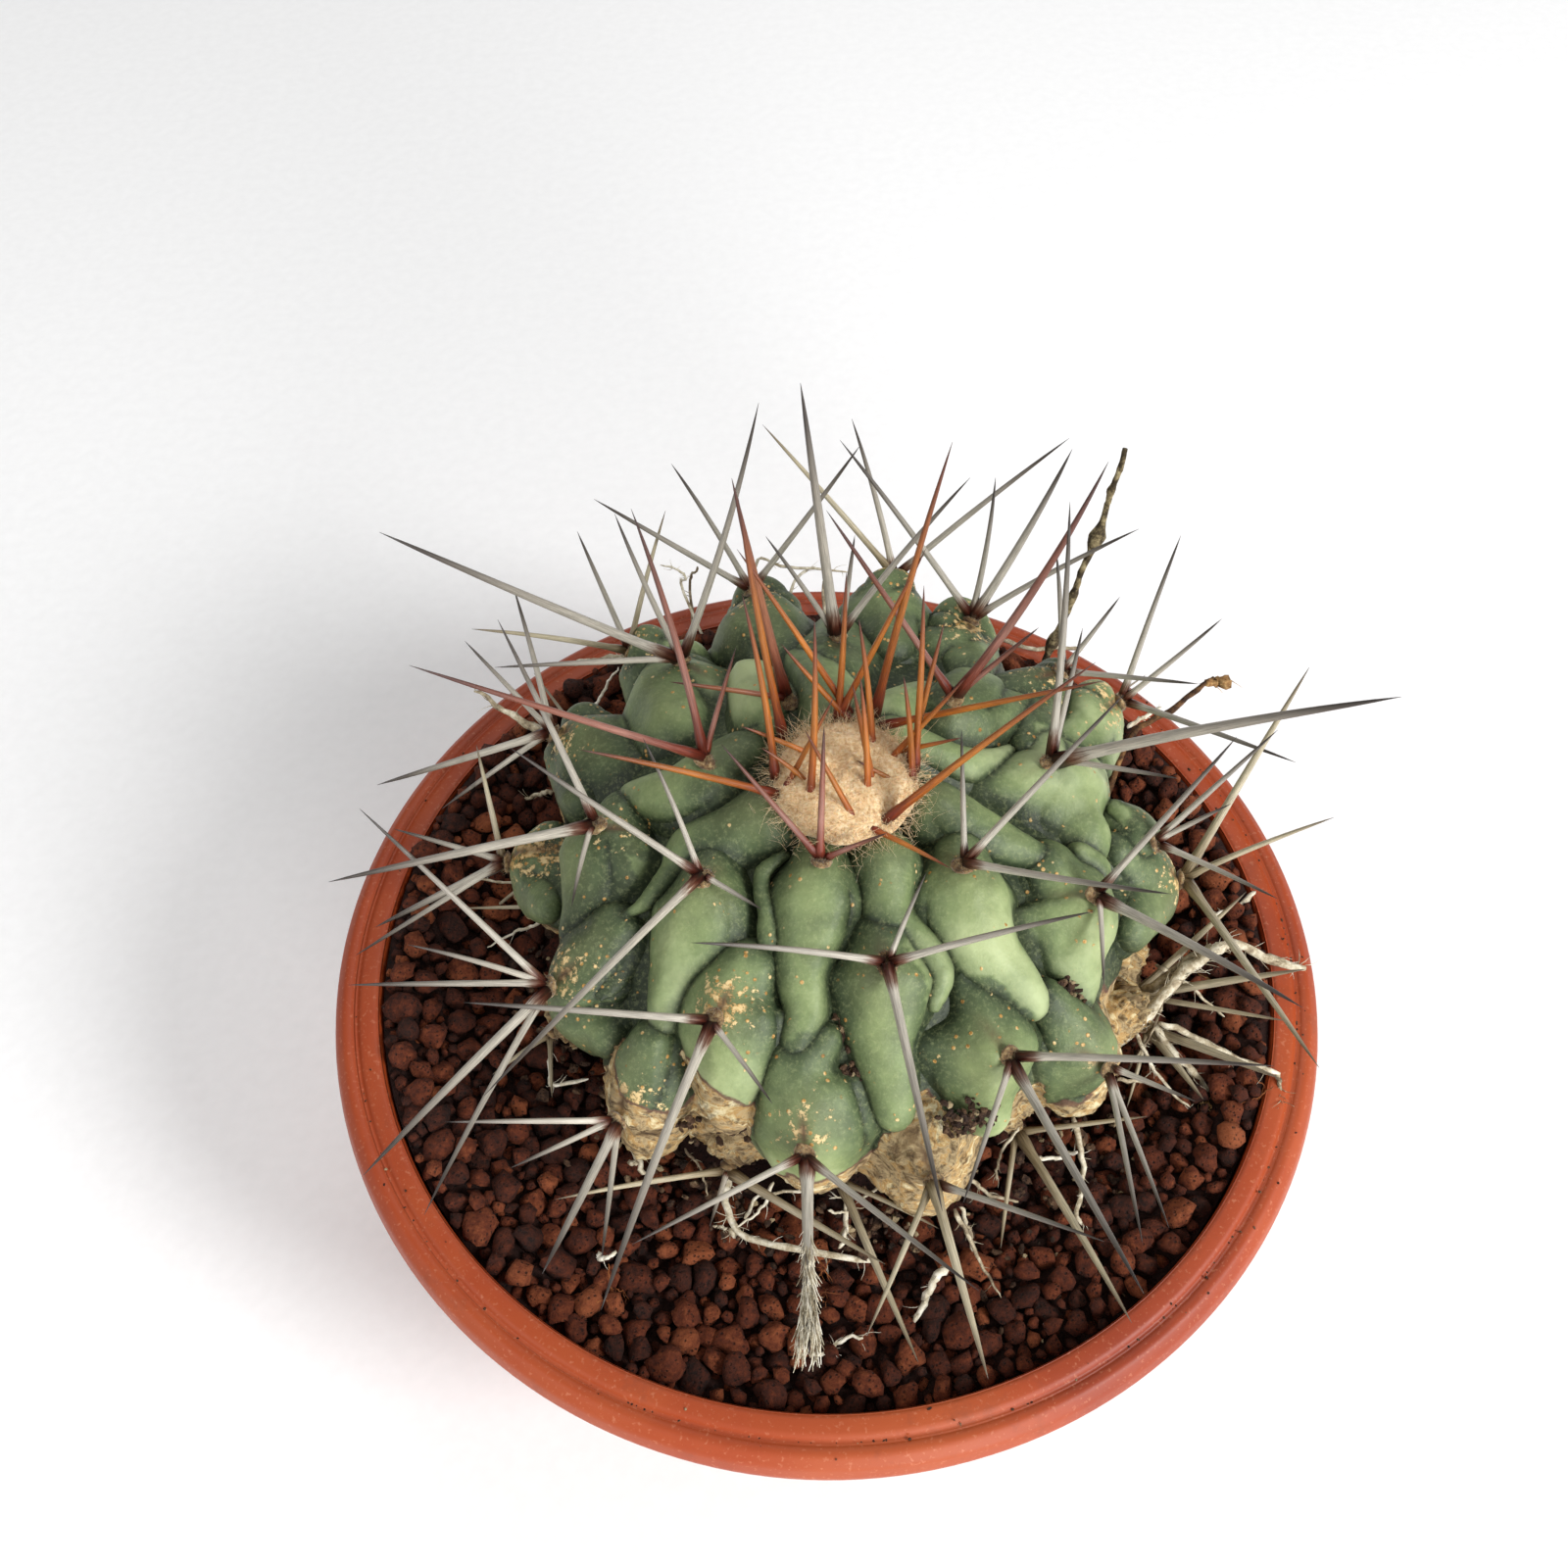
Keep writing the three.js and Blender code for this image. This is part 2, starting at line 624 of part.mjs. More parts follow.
// Spines of an areole that can't be sighted: spread round its axis, each turned on until it is clear
function spreadSpines(areoleHere, blocked) {
  const draw = seeded(500 + areoleHere.n);
  draw();
  const [across, along] = squareTo(areoleHere.axis);
  const found = [];
  for (let k = 0; k < hiddenSpine.count; k += 1) {
    const length = hiddenSpine.shortest + hiddenSpine.spread * draw();
    const first = 90 * k + 30 * draw();
    for (let tries = 0; tries < 16; tries += 1) {
      const angle = degrees(first + 7 * tries);
      const splay = degrees(58 - 2 * (tries % 8));
      const aim = areoleHere.axis.clone().multiplyScalar(Math.cos(splay))
        .addScaledVector(across, Math.sin(splay) * Math.cos(angle))
        .addScaledVector(along, Math.sin(splay) * Math.sin(angle));
      const tip = areoleHere.point.clone().addScaledVector(aim, length);
      const spine = spineOf(rootTowards(areoleHere, tip), tip);
      if (!blocked(spine)) {
        found.push(spine);
        break;
      }
    }
  }
  return found;
}

// Spines by areole, or by crownOwn for the crown: the sighted ones first, and the longest of these before
// the others, because they have the least room to move
function growSpines(areoles, stem, stalk) {
  const grown = [];
  const blockedFor = (own) => (spine) => hitsBody(spine, own, stem, areoles)
    || grown.some((other) => other.own !== own && tooClose(spine, other))
    || stalk.some((point) => clearOf(point, spine) < stalkRadius + 2);
  const wanted = [
    ...crownSpines.map(([rootX, rootY, ...tip]) => ({ here: crownRoot(rootX, rootY), seen: tip })),
    ...areoles.flatMap((here) => (spineTips[here.n] ?? []).map((tip) => ({ here, seen: tip }))),
  ];
  wanted.forEach((want) => {
    want.length = sightedSpine(want.here, want.seen, leans[0], true).length;
  });
  wanted.sort((one, other) => other.length - one.length);
  wanted.forEach(({ here, seen }) => {
    const spine = clearSpine(here, seen, blockedFor(here.n));
    if (spine) grown.push({ ...spine, own: here.n });
  });
  areoles.filter((here) => !spineTips[here.n]).forEach((here) => {
    const spread = spreadSpines(here, blockedFor(here.n));
    grown.push(...spread.map((spine) => ({ ...spine, own: here.n })));
  });
  return grown;
}

// Crown: a pad of wool seated in the top of the stem, with the youngest spines standing in it

function woolBody(gap) {
  const top = crownTop;
  const level = (share, rise) => Array.from({ length: crown.sides }, (_, side) => {
    const angle = (side / crown.sides) * 2 * Math.PI;
    const wave = 1 + 0.05 * Math.sin(3 * angle + 0.6) + 0.04 * Math.sin(5 * angle);
    const radius = (crown.radius * wave + gap) * share;
    return new THREE.Vector3(radius * Math.cos(angle), radius * Math.sin(angle), rise).add(top);
  });
  const rings = [
    level(0.5, -crown.seat - gap),
    level(0.9, -crown.seat * 0.9 - gap),
    level(1, -1),
    level(0.9, crown.rise * 0.35 + gap),
    level(0.6, crown.rise * 0.85 + gap),
    level(0.25, crown.rise + gap),
  ];
  return skin(new THREE.Vector3(top.x, top.y, top.z - crown.seat - gap), rings,
    new THREE.Vector3(top.x, top.y, top.z + crown.rise + gap));
}

// Where a young spine stands in the wool, drawn in to where the wool holds it
function crownRoot(px, py) {
  const seen = sightedOnDome(px, py).sub(crownTop);
  const inward = Math.min(1, (crown.radius - 2.6) / Math.hypot(seen.x, seen.y));
  const point = new THREE.Vector3(seen.x * inward, seen.y * inward, 0.5 - rootRise + 0.6).add(crownTop);
  return { n: crownOwn, point, axis: new THREE.Vector3(0, 0, 1) };
}

// Dry stalk

function stalkPoints() {
  const kinks = stalkSeen.map(([px, py, height]) => sightedAtHeight(px, py, height));
  return [kinks[0].clone().setZ(soilTop - stalkRoot), ...kinks];
}

function makeStalk(points) {
  const rings = points.map((point, i) => {
    const before = points[Math.max(i - 1, 0)];
    const after = points[Math.min(i + 1, points.length - 1)];
    const [across, along] = squareTo(after.clone().sub(before).normalize());
    const knotty = i % 2 ? 1 : 0.8;
    return ringOf(point, across, along, stalkRadius * (1 - 0.09 * i) * knotty, 5);
  });
  return skin(points[0], rings, points[points.length - 1]);
}

function stalkHole(foot) {
  const radius = stalkRadius + fit;
  const depth = stalkRoot + fit + 20;
  return solid(new THREE.CylinderGeometry(radius, radius, depth, 12).rotateX(Math.PI / 2))
    .translate([foot.x, foot.y, foot.z - fit + depth / 2]);
}

// Assembly

const surfaces = {
  pot: { color: 0xc8553a, roughness: 0.55 },
  substrate: { color: 0x5a2c20, roughness: 0.95 },
  stem: { color: 0x7f9f78, roughness: 0.6 },
  crown: { color: 0xd98a3c, roughness: 0.7 },
  spine: { color: 0xb9aea6, roughness: 0.6 },
  drySpine: { color: 0xd8c9a0, roughness: 0.85 },
  stalk: { color: 0x6b5e48, roughness: 0.9 },
};

const plant = new THREE.Group();

function place(name, body, surface) {
  const mesh = new THREE.Mesh(geometryOf(body), new THREE.MeshStandardMaterial({ ...surface, metalness: 0 }));
  mesh.name = name;
  plant.add(mesh);
}

const areoles = numbers.slice(youngest).map(areole);

const collarProfile = [
  [0, soilTop + 22],
  [collarRadius - 6, soilTop + 20],
  [collarRadius + 1, soilTop + 8],
  [collarRadius, soilTop],
  [collarRadius - 4, soilTop - 8],
  [14, soilTop - rootDepth + 6],
  [5, soilTop - rootDepth],
  [0, soilTop - rootDepth],
];
const aroundStem = (profile, gap) => turned(
  profile.map(([radius, height]) => [radius > 0 ? radius + gap : 0, height]).reverse(),
  32,
).translate([domeCentre.x, domeCentre.y, 0]);

function makeStem() {
  const core = new THREE.SphereGeometry(1, 18, 9).rotateX(Math.PI / 2)
    .scale(domeRadius * coreShare, domeRadius * coreShare, domeHeight * coreShare - 2)
    .translate(domeCentre.x, domeCentre.y, domeCentre.z);
  const ground = new THREE.CylinderGeometry(potRimRadius, potRimRadius, 40, 12).rotateX(Math.PI / 2)
    .translate(0, 0, soilTop + soilRelief + 1 - 20);
  const fleshy = joined([solid(core), ...numbers.map(makeTubercle)]).subtract(solid(ground));
  const sockets = joined(areoles.map(makePit));
  return whole(whole(fleshy.add(aroundStem(collarProfile, 0))).subtract(sockets).subtract(woolBody(fit)));
}

function makeCrown(spines) {
  const sockets = joined(areoles.slice(0, 8).map(makePit));
  return whole(joined([woolBody(0), ...spines.map(makeSpine)]).subtract(sockets));
}

const stem = makeStem();
const stalk = stalkPoints();
const grown = growSpines(areoles, stem, stalk);
const spinesOf = (own) => grown.filter((spine) => spine.own === own);

place('pot', makePot(), surfaces.pot);
place('substrate', makeSubstrate(aroundStem(collarProfile, fit + 0.1).add(stalkHole(stalk[0]))),
  surfaces.substrate);
place('stem', stem, surfaces.stem);
place('crown', makeCrown(spinesOf(crownOwn)), surfaces.crown);
areoles.forEach((here) => {
  const name = `areole_${String(here.n).padStart(2, '0')}`;
  const body = joined([makeFelt(here), ...spinesOf(here.n).map(makeSpine)]);
  place(name, body, here.n < firstDead ? surfaces.spine : surfaces.drySpine);
});
place('dry_stalk', makeStalk(stalk), surfaces.stalk);

export default plant;
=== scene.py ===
# Potted Thelocactus rinconensis: a flat-globose stem of big chin-shaped tubercles with long spines, in a
# shallow terracotta-coloured plastic bowl of red lava granules. Its places and sizes are those of the
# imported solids, and this script dresses them. It works in millimetres and brings each piece to metres.

import math
import random

import bmesh
import bpy
from mathutils import Matrix, Vector, kdtree, noise


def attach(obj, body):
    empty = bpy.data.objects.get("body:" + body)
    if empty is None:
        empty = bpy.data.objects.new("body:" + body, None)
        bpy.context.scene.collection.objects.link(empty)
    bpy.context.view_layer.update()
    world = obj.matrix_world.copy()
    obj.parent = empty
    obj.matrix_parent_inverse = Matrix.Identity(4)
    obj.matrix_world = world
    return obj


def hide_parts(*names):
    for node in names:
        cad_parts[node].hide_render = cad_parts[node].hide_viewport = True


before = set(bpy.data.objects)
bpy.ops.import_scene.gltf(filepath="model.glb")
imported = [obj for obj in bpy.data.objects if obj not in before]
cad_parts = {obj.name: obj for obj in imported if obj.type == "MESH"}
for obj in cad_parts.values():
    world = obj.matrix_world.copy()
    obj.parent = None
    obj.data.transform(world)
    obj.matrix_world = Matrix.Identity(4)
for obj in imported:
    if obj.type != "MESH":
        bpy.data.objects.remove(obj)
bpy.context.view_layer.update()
print("frame loaded:", len(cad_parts), "nodes")

mm = 0.001


# Small helpers

# sRGB hex to linear
def linearColour(code):
    parts = [int(code[i:i + 2], 16) / 255 for i in (1, 3, 5)]
    return [c / 12.92 if c <= 0.04045 else ((c + 0.055) / 1.055) ** 2.4 for c in parts] + [1.0]


def addNode(tree, kind, settings=None, links=None):
    node = tree.nodes.new(kind)
    for key, value in (settings or {}).items():
        if key == "stops":
            ramp = node.color_ramp
            while len(ramp.elements) < len(value):
                ramp.elements.new(0.5)
            for element, (place, code) in zip(ramp.elements, value):
                element.position = place
                element.color = linearColour(code) if isinstance(code, str) else [code, code, code, 1.0]
        elif isinstance(key, str) and key[0].islower():
            setattr(node, key, value)
        else:
            node.inputs[key].default_value = linearColour(value) if isinstance(value, str) else value
    for key, source in (links or {}).items():
        tree.links.new(source, node.inputs[key])
    return node


def newMaterial(name):
    material = bpy.data.materials.new(name)
    material.use_nodes = True
    material.node_tree.nodes.clear()
    return material, material.node_tree


def objectPlace(tree):
    return addNode(tree, "ShaderNodeTexCoord").outputs["Object"]


def readLayer(tree, name, output="Fac"):
    return addNode(tree, "ShaderNodeAttribute", {"attribute_name": name}).outputs[output]


# The scale of both patterns is how many of their cells lie in a real millimetre
def addNoise(tree, where, cells, detail=2, roughness=0.5, distortion=0):
    settings = {"Scale": cells / mm, "Detail": detail, "Roughness": roughness, "Distortion": distortion}
    return addNode(tree, "ShaderNodeTexNoise", settings, {"Vector": where}).outputs["Fac"]


def addCells(tree, where, cells):
    return addNode(tree, "ShaderNodeTexVoronoi", {"Scale": cells / mm}, {"Vector": where}).outputs["Distance"]


def addRamp(tree, value, stops):
    return addNode(tree, "ShaderNodeValToRGB", {"stops": stops}, {"Fac": value}).outputs["Color"]


# The next two take sockets and plain values alike
def addMath(tree, operation, *values):
    plain = {i: value for i, value in enumerate(values) if isinstance(value, (int, float))}
    linked = {i: value for i, value in enumerate(values) if i not in plain}
    return addNode(tree, "ShaderNodeMath", {"operation": operation, **plain}, linked).outputs["Value"]


def layOver(tree, share, under, over):
    plain = {"Color2": over} if isinstance(over, str) else {}
    linked = {"Fac": share, "Color1": under, **({} if plain else {"Color2": over})}
    return addNode(tree, "ShaderNodeMixRGB", plain, linked).outputs["Color"]


# Relief of so many mm
def addBump(tree, height, strength, depth):
    settings = {"Strength": strength, "Distance": depth * mm}
    return addNode(tree, "ShaderNodeBump", settings, {"Height": height}).outputs["Normal"]


def finishMaterial(material, settings, links):
    shader = addNode(material.node_tree, "ShaderNodeBsdfPrincipled", settings, links)
    addNode(material.node_tree, "ShaderNodeOutputMaterial", {}, {"Surface": shader.outputs["BSDF"]})
    return material


def mapRange(value, low, high):
    return min(1.0, max(0.0, (value - low) / (high - low)))


def mixed(a, b, share):
    return a + (b - a) * share


fullTurn = 6.28  # radians, near enough for a random turn


def anyTurn(draw):
    return Matrix.Rotation(draw.uniform(0, fullTurn), 3, (draw.uniform(-1, 1), draw.uniform(-1, 1), 1))


def finishPiece(name, bm, material, replaces=(), smooth=True):
    bmesh.ops.scale(bm, vec=(mm, mm, mm), verts=bm.verts)
    mesh = bpy.data.meshes.new(name)
    bm.to_mesh(mesh)
    bm.free()
    for polygon in mesh.polygons:
        polygon.use_smooth = smooth
    piece = bpy.data.objects.new(name, mesh)
    bpy.context.scene.collection.objects.link(piece)
    mesh.materials.append(material)
    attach(piece, "root")
    if replaces:
        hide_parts(*replaces)


def templateMesh(name, bm):
    mesh = bpy.data.meshes.new(name)
    bm.to_mesh(mesh)
    bm.free()
    return mesh


# Adds the template's mesh and returns the new vertices
def addCopy(bm, template):
    start = len(bm.verts)
    bm.from_mesh(template)
    bm.verts.ensure_lookup_table()
    return bm.verts[start:]


def squareTo(direction):
    helper = Vector((0, 0, 1)) if abs(direction.z) < 0.9 else Vector((1, 0, 0))
    across = helper.cross(direction).normalized()
    return across, direction.cross(across)


# A strand is a tube of unit radius from z 0 to 1, which each spine, hair and fibre bends to its own path
def makeStrand(name, sides, cuts):
    bm = bmesh.new()
    bmesh.ops.create_cone(bm, cap_ends=True, segments=sides, radius1=1, radius2=1, depth=1,
                          matrix=Matrix.Translation((0, 0, 0.5)))
    upright = [edge for edge in bm.edges if abs(edge.verts[0].co.z - edge.verts[1].co.z) > 0.5]
    if cuts:
        bmesh.ops.subdivide_edges(bm, edges=upright, cuts=cuts)
    return templateMesh(name, bm)


def readAlong(values, share):
    for (a, low), (b, high) in zip(values, values[1:]):
        if share <= b:
            return mixed(low, high, (share - a) / (b - a))
    return values[-1][1]


# Bends a strand along path(share), as thick as thickness(share, angle)
def layStrand(bm, template, path, thickness, layers=None, tone=0.0, kind=0.0, seed=0.0):
    verts = addCopy(bm, template)
    length = (path(1) - path(0)).length
    spots, across = {}, squareTo((path(0.02) - path(0)).normalized())[0]
    for share in sorted({round(min(1.0, max(0.0, vert.co.z)), 4) for vert in verts}):
        ahead = (path(min(share + 0.02, 1)) - path(max(share - 0.02, 0))).normalized()
        across = (across - ahead * across.dot(ahead)).normalized()
        spots[share] = (path(share), across, ahead.cross(across))
    for vert in verts:
        share = round(min(1.0, max(0.0, vert.co.z)), 4)
        here, across, along = spots[share]
        angle = math.atan2(vert.co.y, vert.co.x)
        radius = thickness(share, angle)
        vert.co = here + across * (radius * math.cos(angle)) + along * (radius * math.sin(angle))
        if layers:
            vert[layers["along"]] = share
            vert[layers["tone"]] = tone
            vert[layers["kind"]] = kind
            vert[layers["grain"]] = Vector((angle * 1.6, share * length * 0.1, seed))
    return verts


def strandLayers(bm):
    return {
        "along": bm.verts.layers.float.new("along"),
        "tone": bm.verts.layers.float.new("tone"),
        "kind": bm.verts.layers.float.new("kind"),
        "grain": bm.verts.layers.float_vector.new("grain"),
    }


# A smooth path through points, read by a share from 0 to 1
def curveThrough(points):
    knots = [points[0] * 2 - points[1]] + list(points) + [points[-1] * 2 - points[-2]]
    pieces = len(points) - 1

    def path(share):
        place = min(max(share, 0) * pieces, pieces - 1e-6)
        i = int(place)
        t = place - i
        a, b, c, d = knots[i:i + 4]
        return 0.5 * ((2 * b) + (c - a) * t + (2 * a - 5 * b + 4 * c - d) * t * t
                      + (3 * b - a - 3 * c + d) * t * t * t)

    return path


# Camera: where the plant was sighted from, which is also where its places were read off

sighting = {
    "eye": Vector((-6.5, -144.1, 338.6)),
    "tip": 55.4,
    "roll": -1.5,
    "focal": 1660,
    "middle": 800,
}


def sightingAxes():
    tip = math.radians(sighting["tip"])
    roll = math.radians(sighting["roll"])
    back = Vector((0, -math.cos(tip), math.sin(tip)))
    level = Vector((1, 0, 0))
    rise = back.cross(level)
    right = level * math.cos(roll) + rise * math.sin(roll)
    up = rise * math.cos(roll) - level * math.sin(roll)
    return right, up, back


def makeCamera():
    right, up, back = sightingAxes()
    data = bpy.data.cameras.new("viewCamera")
    data.sensor_width = 36
    data.lens = data.sensor_width * sighting["focal"] / (2 * sighting["middle"])
    data.clip_start = 0.01
    camera = bpy.data.objects.new("viewCamera", data)
    turn = Matrix((right, up, back)).transposed().to_4x4()
    camera.matrix_world = Matrix.Translation(sighting["eye"] * mm) @ turn
    bpy.context.scene.collection.objects.link(camera)
    bpy.context.scene.camera = camera


makeCamera()


# Places: the same readings and the same spiral as in the solids

soil = {
    "top": 66,
    "dig": 2.2,  # how far the solid's top is lowered, for the granules to lie in
    "finesInside": 46,
    "finesBelow": 2.7,  # how far under the granules' level the heaped fines stay
    "finesDepth": 6,
    "finesRings": 12,
    "finesSides": 96,
}

dome = {"radius": 58.5, "height": 35, "centre": Vector((3.2, 3.2, 92.5))}

# Turns and tilts in degrees. The tilt grows by a power of the number, and dried tubercles hang lower
spiral = {
    "turn": -99.7,
    "first": 34,
    "firstTilt": 7,
    "tiltGrowth": 2.87,
    "tiltPower": 0.945,
    "row": 18,
    "firstDead": 34,
    "deadDrop": 24,
    "deadReach": 0.9,
    "deadHeight": 12,  # mm over the substrate for the first sighted dried one
    "last": 45,
}

# Where the tip of each tubercle shows, youngest first. A third value is how many mm beyond the dome it lies
areolesSeen = [
    (899, 732), (897, 862), (780, 820), (853, 737), (946, 806), (838, 880), (718, 776), (974, 713),
    (983, 884), (716, 897), (803, 715, 4), (1073, 777), (905, 984), (608, 843), (855, 650, 4), (1118, 914),
    (728, 1042), (696, 676, 3), (1082, 687, -7), (1031, 1078), (562, 1006), (768, 606), (1177, 860),
    (821, 1177), (566, 750, -2), (990, 635), (1130, 1090), (631, 1142), (645, 667, 4), (1141, 718, 3),
    (952, 1204), (519, 880), (912, 592, 5), (1203, 897),
]

# The same for dried tubercles round the foot, by number
deadSeen = {
    34: (744, 1188),
    37: (1035, 1149),
    38: (565, 1052),
    40: (1152, 1012),
    41: (856, 1198),
    44: (1166, 1046),
}


def sightLine(px, py):
    right, up, back = sightingAxes()
    middle, focal = sighting["middle"], sighting["focal"]
    return (right * ((px - middle) / focal) - up * ((py - middle) / focal) - back).normalized()


def sightedAtHeight(px, py, height):
    line = sightLine(px, py)
    return sighting["eye"] + line * ((height - sighting["eye"].z) / line.z)


def domeShape(sink=0):
    wide = 1 / (dome["radius"] - sink)
    return Vector((wide, wide, 1 / (dome["height"] - sink)))


# Where the sight line meets the dome lowered by sink, or so far beyond, and how many mm a pixel spans there
def sightedOnDome(px, py, beyond=0, sink=0):
    line, shape = sightLine(px, py), domeShape(sink)
    start, along = (sighting["eye"] - dome["centre"]) * shape, line * shape
    a, b, c = along.length_squared, 2 * start.dot(along), start.length_squared - 1
    reach = (-b - math.sqrt(max(b * b - 4 * a * c, 0))) / (2 * a)
    return sighting["eye"] + line * (reach + beyond), reach / sighting["focal"]


# A place is a turn and a tilt on the dome in degrees, and how far out it lies as a share of the dome
def onDome(place):
    turn, tilt, lift = place
    a, t = math.radians(turn), math.radians(tilt)
    spot = Vector((dome["radius"] * math.sin(t) * math.cos(a), dome["radius"] * math.sin(t) * math.sin(a),
                   dome["height"] * math.cos(t)))
    return spot * lift + dome["centre"]


def placeOf(point):
    q = (point - dome["centre"]) * domeShape()
    return math.degrees(math.atan2(q.y, q.x)), math.degrees(math.acos(q.z / q.length)), q.length


def outward(place):
    p = onDome((place[0], place[1], 1)) - dome["centre"]
    return (p * domeShape() * domeShape()).normalized()


def areolePlace(n):
    if n < len(areolesSeen):
        return placeOf(sightedOnDome(*areolesSeen[n])[0])
    if n in deadSeen:
        height = soil["top"] + spiral["deadHeight"] - 0.25 * (n - spiral["firstDead"])
        return placeOf(sightedAtHeight(*deadSeen[n], height))
    turn = spiral["first"] + spiral["turn"] * n
    tilt = spiral["firstTilt"] + spiral["tiltGrowth"] * n ** spiral["tiltPower"]
    if n < spiral["firstDead"]:
        return turn, tilt, 1
    return turn, tilt + spiral["deadDrop"], spiral["deadReach"]


def between(start, end, share):
    turn = ((end[0] - start[0]) % 360 + 540) % 360 - 180
    return (start[0] + turn * share, mixed(start[1], end[1], share), mixed(start[2], end[2], share))


places = {n: areolePlace(n) for n in range(spiral["last"] + 1 + spiral["row"])}
areoleNodes = sorted(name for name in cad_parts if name.startswith("areole_"))


# The pot: a shallow round bowl of moulded plastic with a rolled rim

pot = {
    "height": 75,
    "rimDrop": 10,
    "rimLine": [(89, 65), (90, 70.5), (89.3, 73.2), (87.6, 74.7), (86.1, 74.6), (85.4, 73.8), (84.6, 74.8),
                (81.7, 75), (81, 74.2), (81, 71)],  # radius and height of bead, groove and inner lip
    "rimRounding": 0.55,
    "grooveRadius": 85.4,
    "wall": 2,
    "bottomRadius": 53.5,
    "swell": 30.1,  # how much wider it is under the rim
    "footLine": [(0, 2.5), (45, 2.5), (46, 0), (52, 0)],
    "floorTop": 5,
    "holes": 6,
    "holeRadius": 4,
    "holeCircle": 34,
    "segments": 192,
}


def bowlRadius(height, inset):
    share = mapRange(height, 0, pot["height"] - pot["rimDrop"])
    return pot["bottomRadius"] + pot["swell"] * math.sin(share * math.pi / 2) ** 0.85 - inset


# The mesh as a modifier leaves it, or as one modifier for each of the other meshes leaves it
def throughModifier(bm, kind, settings, others=()):
    helpers = []
    for source in (bm, *others):
        mesh = bpy.data.meshes.new("working")
        source.to_mesh(mesh)
        source.free()
        helpers.append(bpy.data.objects.new("working", mesh))
        bpy.context.scene.collection.objects.link(helpers[-1])
    for other in helpers[1:] or [None]:
        modifier = helpers[0].modifiers.new("working", kind)
        for key, value in settings.items():
            setattr(modifier, key, value)
        if other:
            modifier.object = other
    bpy.context.view_layer.update()
    shaped = bpy.data.meshes.new_from_object(helpers[0].evaluated_get(bpy.context.evaluated_depsgraph_get()))
    result = bmesh.new()
    result.from_mesh(shaped)
    bpy.data.meshes.remove(shaped)
    for helper in helpers:
        mesh = helper.data
        bpy.data.objects.remove(helper)
        bpy.data.meshes.remove(mesh)
    return result


def terracottaPlastic():
    # Injection-moulded polypropylene: an even burnt orange, satin, with a faint pale speckle and soil dust
    material, tree = newMaterial("terracottaPlastic")
    where = objectPlace(tree)
    body = addRamp(tree, addNoise(tree, where, 0.022, 4, 0.6),
                   [(0.3, "#8c3210"), (0.5, "#a03f15"), (0.72, "#ac4e21")])
    speckle = addRamp(tree, addNoise(tree, where, 1.5), [(0.6, 0.0), (0.74, 0.35)])
    speckled = layOver(tree, speckle, body, "#d08a68")
    dust = addNoise(tree, where, 0.09, 8, 0.72)
    dusted = layOver(tree, addRamp(tree, dust, [(0.56, 0.0), (0.72, 0.4)]), speckled, "#6b3522")
    rough = addNode(tree, "ShaderNodeMapRange", {"To Min": 0.4, "To Max": 0.62}, {"Value": dust})
    return finishMaterial(material, {"IOR": 1.49},
                          {"Base Color": dusted, "Roughness": rough.outputs["Result"],
                           "Normal": addBump(tree, addNoise(tree, where, 2.4), 0.12, 0.1)})


def makePot():
    floorTop, rimFoot = pot["floorTop"], pot["height"] - pot["rimDrop"]
    heights = (2, 6, 11, 17, 24, 31, 38, 45, 52, 59, rimFoot)
    outside = pot["footLine"] + [(bowlRadius(h, 0), h) for h in heights]
    inside = [(bowlRadius(h, pot["wall"]), h) for h in (56, 46, 34, 25, 16)]
    inside += [(bowlRadius(floorTop, pot["wall"]) - 3, floorTop), (0, floorTop)]
    bm = bmesh.new()
    line = [bm.verts.new((r, 0, z)) for r, z in outside + pot["rimLine"] + inside]
    for pair in zip(line, line[1:]):
        bm.edges.new(pair)
    first = len(outside)
    bmesh.ops.bevel(bm, geom=line[first:first + len(pot["rimLine"])], offset=pot["rimRounding"],
                    offset_type="OFFSET", segments=3, profile=0.5, affect="VERTICES", material=-1)
    bmesh.ops.spin(bm, geom=bm.verts[:] + bm.edges[:], cent=(0, 0, 0), axis=(0, 0, 1), angle=2 * math.pi,
                   steps=pot["segments"], use_merge=True)
    bmesh.ops.remove_doubles(bm, verts=bm.verts, dist=0.01)
    bmesh.ops.recalc_face_normals(bm, faces=bm.faces)
    drills = bmesh.new()
    for i in range(pot["holes"]):
        turn = 2 * math.pi * i / pot["holes"]
        spot = (pot["holeCircle"] * math.cos(turn), pot["holeCircle"] * math.sin(turn), 3)
        bmesh.ops.create_cone(drills, cap_ends=True, segments=32, radius1=pot["holeRadius"],
                              radius2=pot["holeRadius"], depth=12, matrix=Matrix.Translation(spot))
    bm = throughModifier(bm, "BOOLEAN", {"operation": "DIFFERENCE", "solver": "EXACT"}, [drills])
    finishPiece("potShell", bm, terracottaPlastic(), ["pot"])


makePot()
print("pot made")


# The stem: a dome of tubercles, each a pear of flesh with its areole at the top of the thick end

